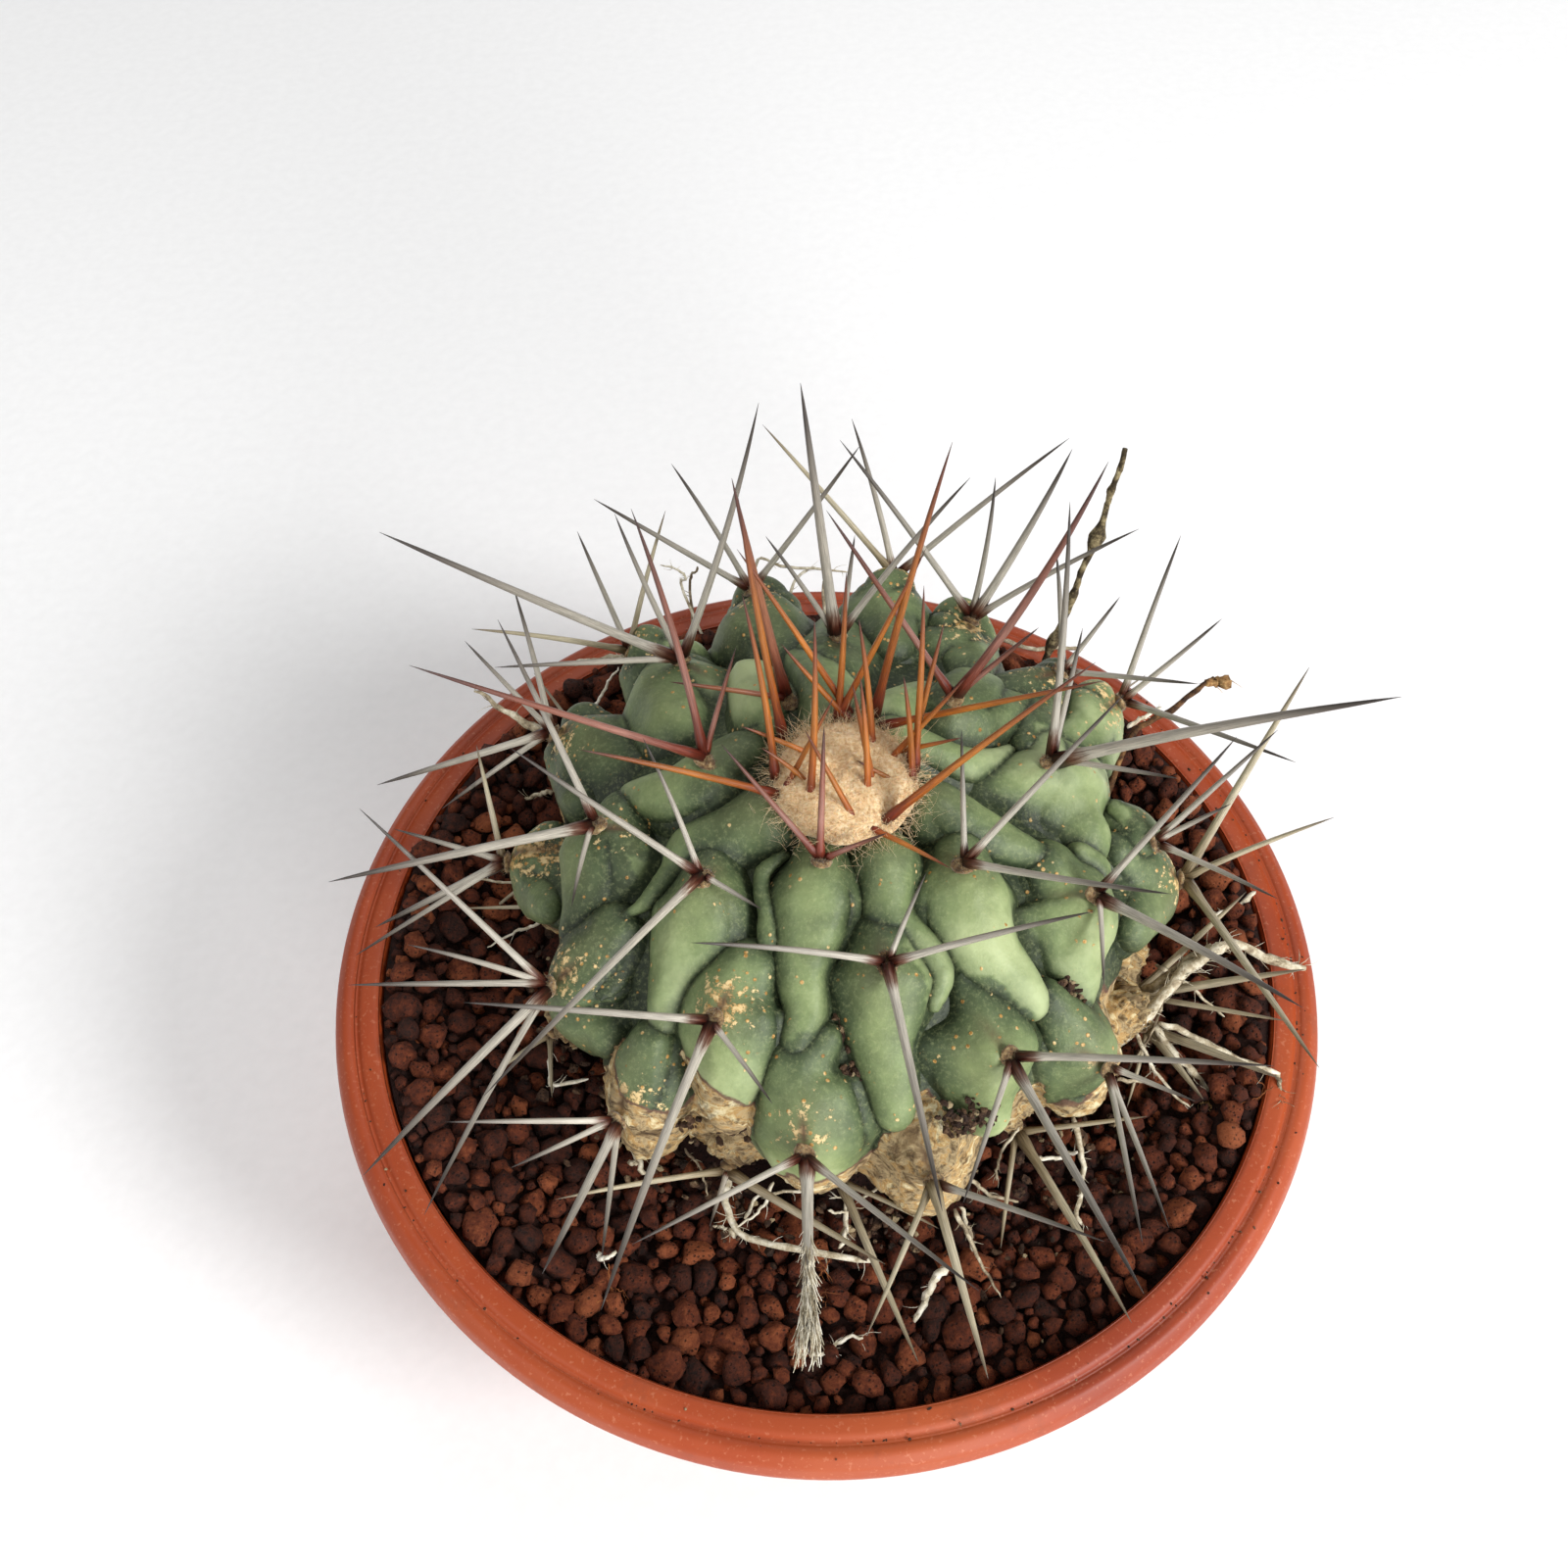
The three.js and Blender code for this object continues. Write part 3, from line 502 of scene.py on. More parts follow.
flesh = {
    "headYoung": 5.6,
    "headGrowth": 0.42,
    "headFull": 9.2,
    "headDried": 6.2,
    "saddleDepth": 10.5,
    "rowUp": 34,  # degrees to the end of the flesh where the row has no next tubercle
    "rowDown": 30,
    "press": 1.13,  # how far each tubercle presses into its neighbours
    "sink": 0.65,  # how far a narrow part lies below a wide one, for each mm of width
    "squareness": 2.1,
    "chin": 5.0,
    "wave": 0.5,
    "voxel": 0.95,
    "rootDepth": 2.6,  # how far the root of a sighted lobe lies below it
    "rootSpread": 1.34,  # and how much wider it is, so that neighbours meet in a crease
    "farDepth": 1.3,  # how far the far side of a lobe seen in part lies below it
    "core": (50, 50, 28),
    "neckRadius": (30, 34),
    "neckHeight": 32,
    "neckMiddle": 76,
    "sharpest": -0.55,  # radians: a fold that is sharper counts as a crease
    "creaseReach": 8,
}

# Sighted tubercles: along each, the middle and half the width in pixels, from the crown side to the outer end
tuberclesSeen = [
    (5, [(836, 884, 30), (833, 925, 49), (828, 955, 41), (820, 992, 28), (824, 1032, 21), (812, 1066, 15)]),
    (12, [(901, 962, 32), (900, 1000, 54), (899, 1038, 43), (901, 1068, 31), (908, 1100, 26),
          (912, 1132, 20)]),
    (1, [(906, 887, 33), (905, 914, 28), (908, 936, 24), (932, 956, 20), (953, 978, 18), (959, 998, 14),
         (952, 1026, 9)]),
    (8, [(979, 877, 30), (982, 912, 46), (985, 938, 47), (1004, 972, 37), (1028, 1000, 30),
         (1047, 1020, 22)]),
    (19, [(981, 998, 17), (996, 1024, 42), (996, 1060, 62), (1000, 1102, 47), (1006, 1129, 26)]),
    (16, [(800, 872, 8), (776, 893, 9), (782, 930, 9), (783, 962, 12)]),
    (16, [(762, 992, 34), (752, 1018, 50), (752, 1048, 54), (748, 1080, 46), (742, 1108, 33),
          (744, 1132, 24)]),
    (9, [(729, 888, 30), (727, 925, 47), (717, 955, 53), (697, 986, 33), (684, 1015, 21), (677, 1044, 16)]),
    (2, [(780, 843, 36), (742, 857, 30), (704, 870, 23), (682, 894, 11), (656, 923, 9), (630, 938, 6)]),
    (20, [(628, 957, 34), (618, 978, 46), (612, 1004, 52), (613, 1033, 46), (622, 1054, 24)]),
    (27, [(668, 1066, 24), (665, 1092, 39), (663, 1120, 45), (664, 1146, 32)]),
    (23, [(840, 1062, 20), (822, 1085, 38), (829, 1118, 52), (832, 1145, 57), (834, 1172, 44)]),
    (13, [(638, 832, 26), (634, 852, 43), (628, 875, 53), (621, 900, 53), (606, 928, 37), (592, 950, 22)]),
    (17, [(700, 680, 24), (698, 700, 42), (695, 735, 60), (698, 757, 48)]),
    (24, [(600, 742, 22), (606, 756, 38), (612, 775, 50), (604, 797, 40), (596, 818, 24)]),
    (6, [(757, 775, 28), (728, 803, 36), (698, 818, 35), (668, 815, 24), (645, 812, 14)]),
    (10, [(768, 698, 26), (767, 726, 24), (771, 750, 18)]),
    (21, [(774, 617, 29), (778, 644, 45), (783, 674, 40)]),
    (4, [(960, 830, 30), (985, 845, 27), (1012, 857, 23), (1040, 867, 18), (1075, 876, 10)]),
    (4, [(1100, 872, 12), (1120, 885, 12), (1128, 900, 8)]),
    (11, [(1056, 780, 36), (1061, 802, 53), (1074, 822, 57), (1085, 843, 50), (1098, 856, 32)]),
    (7, [(968, 746, 28), (992, 742, 34), (1015, 737, 33), (1040, 728, 20)]),
    (0, [(952, 790, 18), (985, 790, 18), (1012, 778, 12), (1030, 765, 7)]),
    (29, [(1116, 718, 22), (1113, 740, 33), (1111, 760, 30), (1119, 783, 15)]),
    (18, [(1075, 694, 20), (1062, 715, 26), (1052, 745, 26), (1045, 762, 16)]),
    (25, [(982, 640, 30), (984, 668, 34), (990, 694, 26)]),
    (22, [(1131, 822, 10), (1142, 838, 22), (1158, 856, 22)]),
    (15, [(1070, 890, 32), (1080, 915, 50), (1084, 945, 54), (1090, 975, 42), (1100, 1003, 24),
          (1104, 1018, 14)]),
    (33, [(1140, 868, 20), (1152, 888, 38), (1160, 912, 40), (1155, 945, 24)]),
    (26, [(1071, 1020, 21), (1088, 1050, 36), (1098, 1079, 48), (1097, 1104, 34)]),
    (30, [(940, 1158, 38), (938, 1178, 54), (942, 1196, 42)]),
    (31, [(562, 861, 22), (555, 880, 33), (557, 908, 31), (561, 925, 16)]),
    (14, [(854, 655, 27), (853, 679, 41), (853, 698, 35)]),
    (32, [(909, 604, 26), (906, 634, 37), (908, 662, 30)]),
    (28, [(660, 662, 23), (662, 684, 29), (659, 701, 20)]),
]


def headRadius(n):
    if n >= spiral["firstDead"]:
        return flesh["headDried"]
    return min(flesh["headYoung"] + flesh["headGrowth"] * n, flesh["headFull"])


def headShift(n):
    if n >= spiral["firstDead"]:
        return 0
    shift = 7.5 - 0.85 * max(n - 6, 0)
    return min(max(shift, -3.5), 0.7 * headRadius(n))


# The middle, the place and the radius of tubercle n's flesh at a share from -1, its top, to 1, its tail
def station(n, share):
    place, size, shift = places[n], headRadius(n), headShift(n)
    dead = n >= spiral["firstDead"]
    middle = (place[0], place[1] + math.degrees(shift / 50), place[2])
    if share < 0:
        upwards = (place[0], max(place[1] - flesh["rowUp"], 0), place[2])
        end = places[n - spiral["row"]] if n >= spiral["row"] else upwards
    else:
        end = (place[0], place[1] + flesh["rowDown"], place[2]) if dead else places[n + spiral["row"]]
    reach = abs(share)
    spot = between(middle, end, reach * (0.46 if share < 0 else 0.56))
    headDepth = math.sqrt(size * size - shift * shift)
    endDepth = max(flesh["saddleDepth"], size + 2)
    depth = headDepth + (endDepth - headDepth) * reach ** 1.7
    waist = size * (1 - 0.4 * reach ** 1.25)
    return onDome(spot) - outward(spot) * depth, spot, waist


tubercles = list(range(spiral["last"] + 1))
middles = {n: [onDome(station(n, i / 5)[1]) for i in range(-5, 6)] for n in tubercles}


# The line of flesh of a tubercle that the sighting doesn't show: middles, outward ways, radii and widths
def hiddenLine(n, sunk=0):
    beside = [p for other in tubercles if (other - n) % spiral["row"] for p in middles[other]]
    line = []
    for i in range(-4, 5):
        centre, spot, radius = station(n, i / 5)
        room = min((p - onDome(spot)).length for p in beside)
        line.append((centre - outward(spot) * sunk, outward(spot), radius,
                     min(max(0.62 * room, 0.9 * radius), 1.4 * radius)))
    return line


def sightedLine(seen):
    reaches = [sightedOnDome(px, py, sink=6)[1] for px, py, _ in seen]
    widths = [half * reach for (_, _, half), reach in zip(seen, reaches)]
    line = []
    for (px, py, _), width in zip(seen, widths):
        radius = width * flesh["press"]
        sink = radius + flesh["sink"] * (max(max(widths), 6.5) - width)
        centre = sightedOnDome(px, py, sink=sink)[0]
        line.append((centre, outward(placeOf(centre)), radius, radius))
    return line


def areoleFrame(n):
    point = onDome(places[n])
    core = station(n, 0)[0]
    axis = (point - core).normalized()
    down = (station(n, 0.35)[0] - station(n, -0.35)[0])
    down = (down - axis * down.dot(axis)).normalized()
    return point, axis, down


def makeTubercleTemplate():
    bm = bmesh.new()
    bmesh.ops.create_uvsphere(bm, u_segments=44, v_segments=40, radius=1)
    return templateMesh("tubercle", bm)


tubercleTemplate = makeTubercleTemplate()


# A ball drawn out along the line of flesh, with its tip pulled out to the areole
def tubercleMesh(n, line):
    bm = bmesh.new()
    centres = curveThrough([spot[0] for spot in line])
    rises = curveThrough([spot[1] for spot in line])
    sizes = curveThrough([Vector((spot[2], spot[3], 0)) for spot in line])
    body = 0.72  # the share of the ball that the line takes, between its round ends
    power = 2 / flesh["squareness"]
    draw = random.Random(60 + n)
    flanks = []  # where neighbours and sun have flattened it: a way in its cross-section and a depth
    for lean in (-66, -14, 42):
        lean = math.radians(lean + draw.uniform(-14, 14))
        flanks.append((Vector((math.cos(lean), math.sin(lean))), draw.uniform(0.78, 0.9)))
    for vert in addCopy(bm, tubercleTemplate):
        level = 1 - 2 * math.acos(min(max(vert.co.z, -1), 1)) / math.pi
        share = min(max(0.5 + 0.5 * level / body, 0), 1)
        centre, size = centres(share), sizes(share)
        ahead = (centres(min(share + 0.04, 1)) - centres(max(share - 0.04, 0))).normalized()
        side = ahead.cross(rises(share)).normalized()
        rise = side.cross(ahead)
        turn = math.radians(90) * max(abs(level) - body, 0) / (1 - body)
        closing = math.cos(turn)
        end = math.copysign(min(size.x, 7) * math.sin(turn), level)
        flat = Vector((vert.co.x, vert.co.y))
        flat = flat.normalized() if flat.length > 1e-4 else Vector((0, 0))
        for way, depth in flanks:
            flat -= way * (max(flat.dot(way) - depth, 0) * 0.85)
        high = math.copysign(abs(flat.x) ** power, flat.x) if flat.x > 0 else flat.x
        wide = math.copysign(abs(flat.y) ** power, flat.y)
        vert.co = centre + ahead * end + (rise * (size.x * high) + side * (size.y * wide)) * closing
    bm = throughModifier(bm, "REMESH", {"mode": "VOXEL", "voxel_size": flesh["voxel"]})
    for _ in range(5):
        bmesh.ops.smooth_vert(bm, verts=bm.verts, factor=0.5, use_axis_x=True, use_axis_y=True,
                              use_axis_z=True)
    bm.normal_update()
    for vert in bm.verts:
        swing = noise.noise(vert.co * 0.13 + Vector((n * 5.1, 0, 0)))
        vert.co += vert.normal * (flesh["wave"] * swing + 0.15)
    point, axis, _ = areoleFrame(n)
    nearest = min(bm.verts, key=lambda vert: (vert.co - point).length).co.copy()
    pull = point - axis * 0.2 - nearest
    if 0.2 < pull.length < 12:
        spread = flesh["chin"] + 0.25 * pull.length
        for vert in bm.verts:
            vert.co += pull * math.exp(-((vert.co - nearest).length / spread) ** 2)
    return bm


# Sighted only in part, from the front: their far sides are filled in
halfSeen = [0, 7, 10, 11, 14, 17, 18, 21, 24, 25, 28, 29, 32]

# How much golden cork has scabbed round each areole, and which skirts have dried
corkAmount = {5: 0.1, 6: 0.05, 7: 0.1, 8: 0.15, 9: 0.2, 10: 0.35, 11: 0.15, 12: 0.2, 13: 0.6, 14: 0.3,
              15: 0.25, 16: 0.85, 17: 0.4, 18: 0.7, 19: 0.3, 20: 0.75, 21: 0.7, 22: 0.8, 23: 0.7, 24: 0.8,
              25: 0.85, 26: 0.5, 27: 0.85, 28: 0.7, 29: 0.8, 30: 0.9, 31: 0.9, 32: 0.8, 33: 0.8}
# Dried skirts: how dry, how far below the areole in mm it starts, and how much further on its right side
drySkirt = {16: (1.0, 8.5, 0.3), 20: (0.9, 8, 0.2), 23: (0.7, 6.5, 0), 24: (0.6, 5, -0.3), 26: (0.9, 3.5, 0),
            27: (1.0, -5, 0.5), 28: (0.6, 2, 0), 30: (1.0, -11, 0), 31: (0.9, 2, 0), 32: (0.7, 2, 0),
            33: (0.9, 3, -0.3), 29: (0.7, 4, 0), 22: (0.6, 4, 0)}


def makeStem():
    seen = {n for n, _ in tuberclesSeen}
    lines = [(n, sightedLine(line)) for n, line in tuberclesSeen]
    lines += [(n, [(centre - out * flesh["rootDepth"], out, radius, flesh["rootSpread"] * width)
                   for centre, out, radius, width in line]) for n, line in lines]
    lines += [(n, hiddenLine(n)) for n in tubercles if n not in seen]
    lines += [(n, hiddenLine(n, flesh["farDepth"])) for n in halfSeen]
    core = bmesh.new()
    coreShape = Matrix.Translation(dome["centre"]) @ Matrix.Diagonal((*flesh["core"], 1))
    bmesh.ops.create_uvsphere(core, u_segments=64, v_segments=32, radius=1, matrix=coreShape)
    neck = bmesh.new()
    bmesh.ops.create_cone(neck, cap_ends=True, segments=48, radius1=flesh["neckRadius"][0],
                          radius2=flesh["neckRadius"][1], depth=flesh["neckHeight"],
                          matrix=Matrix.Translation((*dome["centre"].xy, flesh["neckMiddle"])))
    bodies = [core, neck] + [tubercleMesh(n, line) for n, line in lines]
    for body in bodies:
        bmesh.ops.recalc_face_normals(body, faces=body.faces)
    bm = throughModifier(bodies[0], "BOOLEAN", {"operation": "UNION", "solver": "MANIFOLD"}, bodies[1:])
    bmesh.ops.remove_doubles(bm, verts=bm.verts, dist=0.06)
    bmesh.ops.dissolve_degenerate(bm, edges=bm.edges, dist=0.05)
    bmesh.ops.triangulate(bm, faces=bm.faces)
    bm.normal_update()
    creases = []
    for edge in bm.edges:
        if edge.is_manifold and edge.calc_face_angle_signed(0) < flesh["sharpest"]:
            edge.smooth = False
            creases.append(edge)
    creaseTree = kdtree.KDTree(len(creases) * 3)
    for edge in creases:
        a, b = edge.verts[0].co, edge.verts[1].co
        for spot in (a, b, (a + b) / 2):
            creaseTree.insert(spot, 0)
    creaseTree.balance()
    flesh3d = [(n, centre, radius) for n, line in lines for centre, _, radius, _ in line]
    tree = kdtree.KDTree(len(flesh3d))
    for i, (_, centre, _) in enumerate(flesh3d):
        tree.insert(centre, i)
    tree.balance()
    layers = {name: bm.verts.layers.float.new(name) for name in ("crease", "cork", "dry", "tone", "furrow")}
    frames = {n: areoleFrame(n) for n in tubercles}
    moved = []
    for vert in bm.verts:
        near = min(tree.find_n(vert.co, 8), key=lambda item: item[2] - flesh3d[item[1]][2])
        n = flesh3d[near[1]][0]
        point, axis, down = frames[n]
        depth = ((vert.co - dome["centre"]) * domeShape()).length
        gap = min(creaseTree.find(vert.co)[2], flesh["creaseReach"]) * mapRange(depth, 0.85, 0.92)
        apart = vert.co - point
        below = apart.dot(down)
        aside = axis.cross(down).dot(apart)
        around = math.exp(-((below + 2.5) ** 2 / 40 + aside ** 2 / 50))
        dead = 1.0 if n >= spiral["firstDead"] else 0.0
        much, start, side = drySkirt.get(n, (0, 0, 0))
        ragged = below - side * aside + 1.5 * noise.noise(vert.co * 0.3)
        low = mapRange(vert.co.z - 7 * mapRange(vert.co.y, 0, 25), 76, 70)
        dry = max(dead, much * mapRange(ragged, start, start + 3), low)
        cork = max(corkAmount.get(n, 0), dead) * around
        ripple = noise.fractal(vert.co * 0.42, 0.8, 2.2, 5)
        # The groove that runs 6 mm up from an areole
        slot = math.exp(-((aside / 0.8) ** 2)) * mapRange(-below, 0.5, 2) * mapRange(-below, 6, 3.5)
        slot *= mapRange(corkAmount.get(n, 1), 0.05, 0.5)
        vert[layers["crease"]] = gap
        vert[layers["cork"]] = cork
        vert[layers["dry"]] = dry
        vert[layers["tone"]] = (noise.noise(Vector((n * 3.7, 1.3, 0.4))) + 0.25 * noise.noise(vert.co * 0.08)
                                + 0.9 * mapRange(below, -2, 14) - 0.3)
        vert[layers["furrow"]] = max(slot, 0.75 * mapRange(vert.co.z, 86, 73))
        free = mapRange(gap, 0, 1.5)
        rise = 0.09 * noise.noise(vert.co * 0.35) + 0.05 * noise.noise(vert.co * 0.9)
        fold = noise.fractal(vert.co * Vector((0.2, 0.2, 0.42)), 0.9, 2.1, 4)
        rise += dry * (0.9 * abs(ripple) - 0.45) - 0.5 * slot
        rise -= dead * (4.0 * abs(fold) + 0.4) * mapRange(apart.length, 1.5, 5)
        moved.append(vert.normal * (rise * (0.3 + 0.7 * free)))
    for vert, shift in zip(bm.verts, moved):
        vert.co += shift
    print("stem faces:", len(bm.faces), "creases:", len(creases))
    finishPiece("cactusStem", bm, cactusSkin(), ["stem"])


def cactusSkin():
    # Living epidermis under a thin wax bloom: grey-green, satin, with golden cork scabs, painted shade in the
    # creases and paler tops that are partly bloom and partly painted highlight
    material, tree = newMaterial("cactusSkin")
    where = objectPlace(tree)
    toned = addMath(tree, "MULTIPLY_ADD", readLayer(tree, "tone"), 0.28, addNoise(tree, where, 0.07, 5, 0.6))
    green = addRamp(tree, toned, [(0.25, "#3e4930"), (0.45, "#586845"), (0.6, "#7a8b5c"), (0.8, "#aebb8a")])
    # The crease layer is the way to the next crease in mm: painted shade within it, then skin that pales away
    # from it, partly the wax bloom and partly painted highlight on the tops
    crease = addMath(tree, "MULTIPLY", readLayer(tree, "crease"), 1 / flesh["creaseReach"])
    bloomAndHighlight = addRamp(tree, crease, [(0.06, 0.0), (0.35, 0.05), (0.7, 0.18), (1, 0.3)])
    gap = addRamp(tree, crease, [(0.02, 0.9), (0.1, 0.45), (0.25, 0.18), (0.5, 0.0)])
    # 232e1c is painted shade in the creases; #969d68 is a paler tone on the tops, partly bloom and partly
    # painted highlight
    creaseShaded = layOver(tree, gap, layOver(tree, bloomAndHighlight, green, "#969d68"), "#232e1c")
    # Fine mottling of the wax
    mottle = addRamp(tree, addNoise(tree, where, 1.3, 6, 0.75), [(0.5, 0.0), (0.72, 0.38)])
    mottled = layOver(tree, mottle, creaseShaded, "#a9b17e")
    # Scabs: golden dots of a few tenths of a millimetre, and a crust where they meet round the areoles
    cork = readLayer(tree, "cork")
    dots = addRamp(tree, addCells(tree, where, 0.62), [(0.16, 1.0), (0.24, 0.0)])
    patches = addMath(tree, "MULTIPLY_ADD", cork, 0.36, addNoise(tree, where, 0.26, 3))
    dotted = addMath(tree, "MULTIPLY", dots, addRamp(tree, patches, [(0.585, 0.0), (0.62, 1.0)]))
    scab = addNoise(tree, where, 0.7, 8, 0.7)
    crust = addRamp(tree, addMath(tree, "MULTIPLY_ADD", cork, 0.36, scab), [(0.76, 0.0), (0.8, 1.0)])
    scabShare = addMath(tree, "MAXIMUM", dotted, crust)
    scabTone = addRamp(tree, scab, [(0.38, "#86602c"), (0.48, "#b98a45"), (0.6, "#e0c690")])
    scabbed = layOver(tree, scabShare, mottled, scabTone)
    # Dried skin: cracked cork in cream and ochre bands, with a violet-brown line where the living skin ends
    squeezed = addNode(tree, "ShaderNodeVectorMath", {"operation": "MULTIPLY", 1: (1, 1, 1.6)}, {0: where})
    bands = addNoise(tree, squeezed.outputs["Vector"], 0.15, 5, 0.65, 1.2)
    dryTone = addRamp(tree, bands, [(0.3, "#43321f"), (0.4, "#806a49"), (0.48, "#b5a078"), (0.54, "#b08a52"),
                                    (0.6, "#d2c194"), (0.72, "#ebe1c2")])
    bark = addNoise(tree, squeezed.outputs["Vector"], 0.52, 9, 0.72)
    cracked = layOver(tree, addRamp(tree, bark, [(0.38, 0.75), (0.5, 0.0)]), dryTone, "#33231a")
    dryEdge = addMath(tree, "MULTIPLY_ADD", bark, 0.5, readLayer(tree, "dry"))
    seam = addRamp(tree, dryEdge, [(0.44, 0.0), (0.54, 0.85), (0.64, 0.85), (0.74, 0.0)])
    dryShare = addRamp(tree, dryEdge, [(0.54, 0.0), (0.62, 1.0)])
    seamed = layOver(tree, seam, layOver(tree, dryShare, scabbed, cracked), "#64463a")
    furrowed = layOver(tree, readLayer(tree, "furrow"), seamed, "#5d4732")
    # Relief: dimples under the scabs, pores, and deep bark where the skin has dried
    relief = addMath(tree, "MULTIPLY_ADD", addNoise(tree, where, 0.33, 4, 0.55), 2.2, scabShare)
    relief = addMath(tree, "MULTIPLY_ADD", addNoise(tree, where, 2.6, 3), 0.6, relief)
    relief = addMath(tree, "MULTIPLY_ADD", addMath(tree, "MULTIPLY", bark, dryShare), 6, relief)
    rough = addNode(tree, "ShaderNodeMapRange", {"To Min": 0.52, "To Max": 0.9}, {"Value": dryShare})
    return finishMaterial(material,
                          {"IOR": 1.42, "Subsurface Weight": 0.03, "Subsurface Radius": (0.7, 1.0, 0.4),
                           "Subsurface Scale": 0.8 * mm},
                          {"Base Color": furrowed, "Roughness": rough.outputs["Result"],
                           "Normal": addBump(tree, relief, 0.5, 0.2)})


makeStem()
print("stem made")


# The substrate: red lava granules over a body of the same, held in the pot

granules = {
    "sizes": [(3.1, 70), (2.5, 320), (2.0, 760), (1.5, 1500), (1.1, 1700)],  # radius, and how many at most
    "tries": 14,  # for each granule that is wanted
    "edge": 80.6,
    "inner": 44,
    "level": 66.9,
    "heap": (58, 77),  # they lie higher from the first reach on, fully at the second
    "heapRise": 9.6,
    "backRise": 1.0,  # more at the back
    "frontShare": 0.3,  # less in front
    "clearance": 0.8,
}


def lavaRock(name, stops):
    # Crushed red lava: matt, rust brown, pitted with gas bubbles a few tenths of a millimetre wide
    material, tree = newMaterial(name)
    where = objectPlace(tree)
    grain = addNoise(tree, where, 0.7, 7, 0.7)
    body = addRamp(tree, addMath(tree, "MULTIPLY_ADD", readLayer(tree, "tone"), 0.55, grain), stops)
    pits = addRamp(tree, addCells(tree, where, 1.1), [(0.1, 0.65), (0.3, 0.0)])
    normal = addBump(tree, addMath(tree, "SUBTRACT", grain, pits), 1, 0.8)
    return finishMaterial(material, {"IOR": 1.5, "Roughness": 0.88, "Specular IOR Level": 0.35},
                          {"Base Color": layOver(tree, pits, body, "#1c0f08"), "Normal": normal})


def rockTemplate(subdivisions):
    bm = bmesh.new()
    bmesh.ops.create_icosphere(bm, subdivisions=subdivisions, radius=1)
    return templateMesh("granule", bm)


# How high the granules lie, and the share of the heap there: most against the wall, least in front
def levelAt(x, y):
    front = mixed(granules["frontShare"], 1, mapRange(y, -66, -30))
    heap = mapRange(math.hypot(x, y), *granules["heap"]) * front
    rise = granules["heapRise"] + granules["backRise"] * mapRange(y, 20, 60)
    return granules["level"] + rise * heap + 0.6 * noise.noise(Vector((x, y, 0)) * 0.06), heap


# Granules thrown from large to small, each clear of the larger ones and outside the stem
def placeGranules(draw):
    cell, cells, placed = 4.0, {}, []
    for size, count in granules["sizes"]:
        made, tries = 0, 0
        while made < count and tries < count * granules["tries"]:
            tries += 1
            radius = size * draw.uniform(0.82, 1.12)
            reach = math.sqrt(draw.uniform(granules["inner"] ** 2, (granules["edge"] - radius * 0.8) ** 2))
            turn = draw.uniform(0, 2 * math.pi)
            spot = Vector((reach * math.cos(turn), reach * math.sin(turn), 0))
            level, heap = levelAt(spot.x, spot.y)
            spot.z = level - 0.45 * radius + draw.uniform(-1.5 - 0.3 * heap, 0.9) - (1.2 if size < 2 else 0)
            near = [other for i in range(-2, 3) for j in range(-2, 3)
                    for other in cells.get((int(spot.x // cell) + i, int(spot.y // cell) + j), ())]
            clash = any((spot - other).length < granules["clearance"] * (radius + wide)
                        for other, wide in near)
            if clash or insideStem(spot):
                continue
            cells.setdefault((int(spot.x // cell), int(spot.y // cell)), []).append((spot, radius))
            placed.append((spot, radius))
            made += 1
    return placed


def insideStem(spot):
    q = (spot - dome["centre"]) * Vector((1 / 60, 1 / 60, 1 / 36))
    return q.length < 0.86


def makeGranules():
    draw = random.Random(5)
    bm = bmesh.new()
    tone = bm.verts.layers.float.new("tone")
    large, small = rockTemplate(2), rockTemplate(1)
    for spot, radius in placeGranules(draw):
        turn = anyTurn(draw)
        stretch = Vector((draw.uniform(0.85, 1.2), draw.uniform(0.75, 1.0), draw.uniform(0.7, 0.95)))
        shade = max(draw.gauss(0, 0.3), -0.32)
        seed = Vector((draw.uniform(0, 90), draw.uniform(0, 90), draw.uniform(0, 90)))
        cuts = [(Vector((draw.gauss(0, 1), draw.gauss(0, 1), draw.gauss(0, 1))).normalized(),
                 draw.uniform(0.55, 0.85)) for _ in range(6)]
        for vert in addCopy(bm, large if radius > 1.9 else small):
            for way, depth in cuts:  # broken faces
                vert.co -= way * (max(vert.co.dot(way) - depth, 0) * 0.85)
            lump = 1.12 + 0.42 * noise.noise(vert.co * 1.3 + seed) + 0.26 * noise.noise(vert.co * 3.1 + seed)
            vert.co = spot + turn @ (vert.co * stretch * (radius * lump))
            vert[tone] = shade
    print("granule faces:", len(bm.faces))
    stops = [(0.2, "#1c0b05"), (0.42, "#451d0e"), (0.6, "#642d16"), (0.85, "#8e4d2c")]
    finishPiece("lavaGranules", bm, lavaRock("lavaRock", stops), ["substrate"])


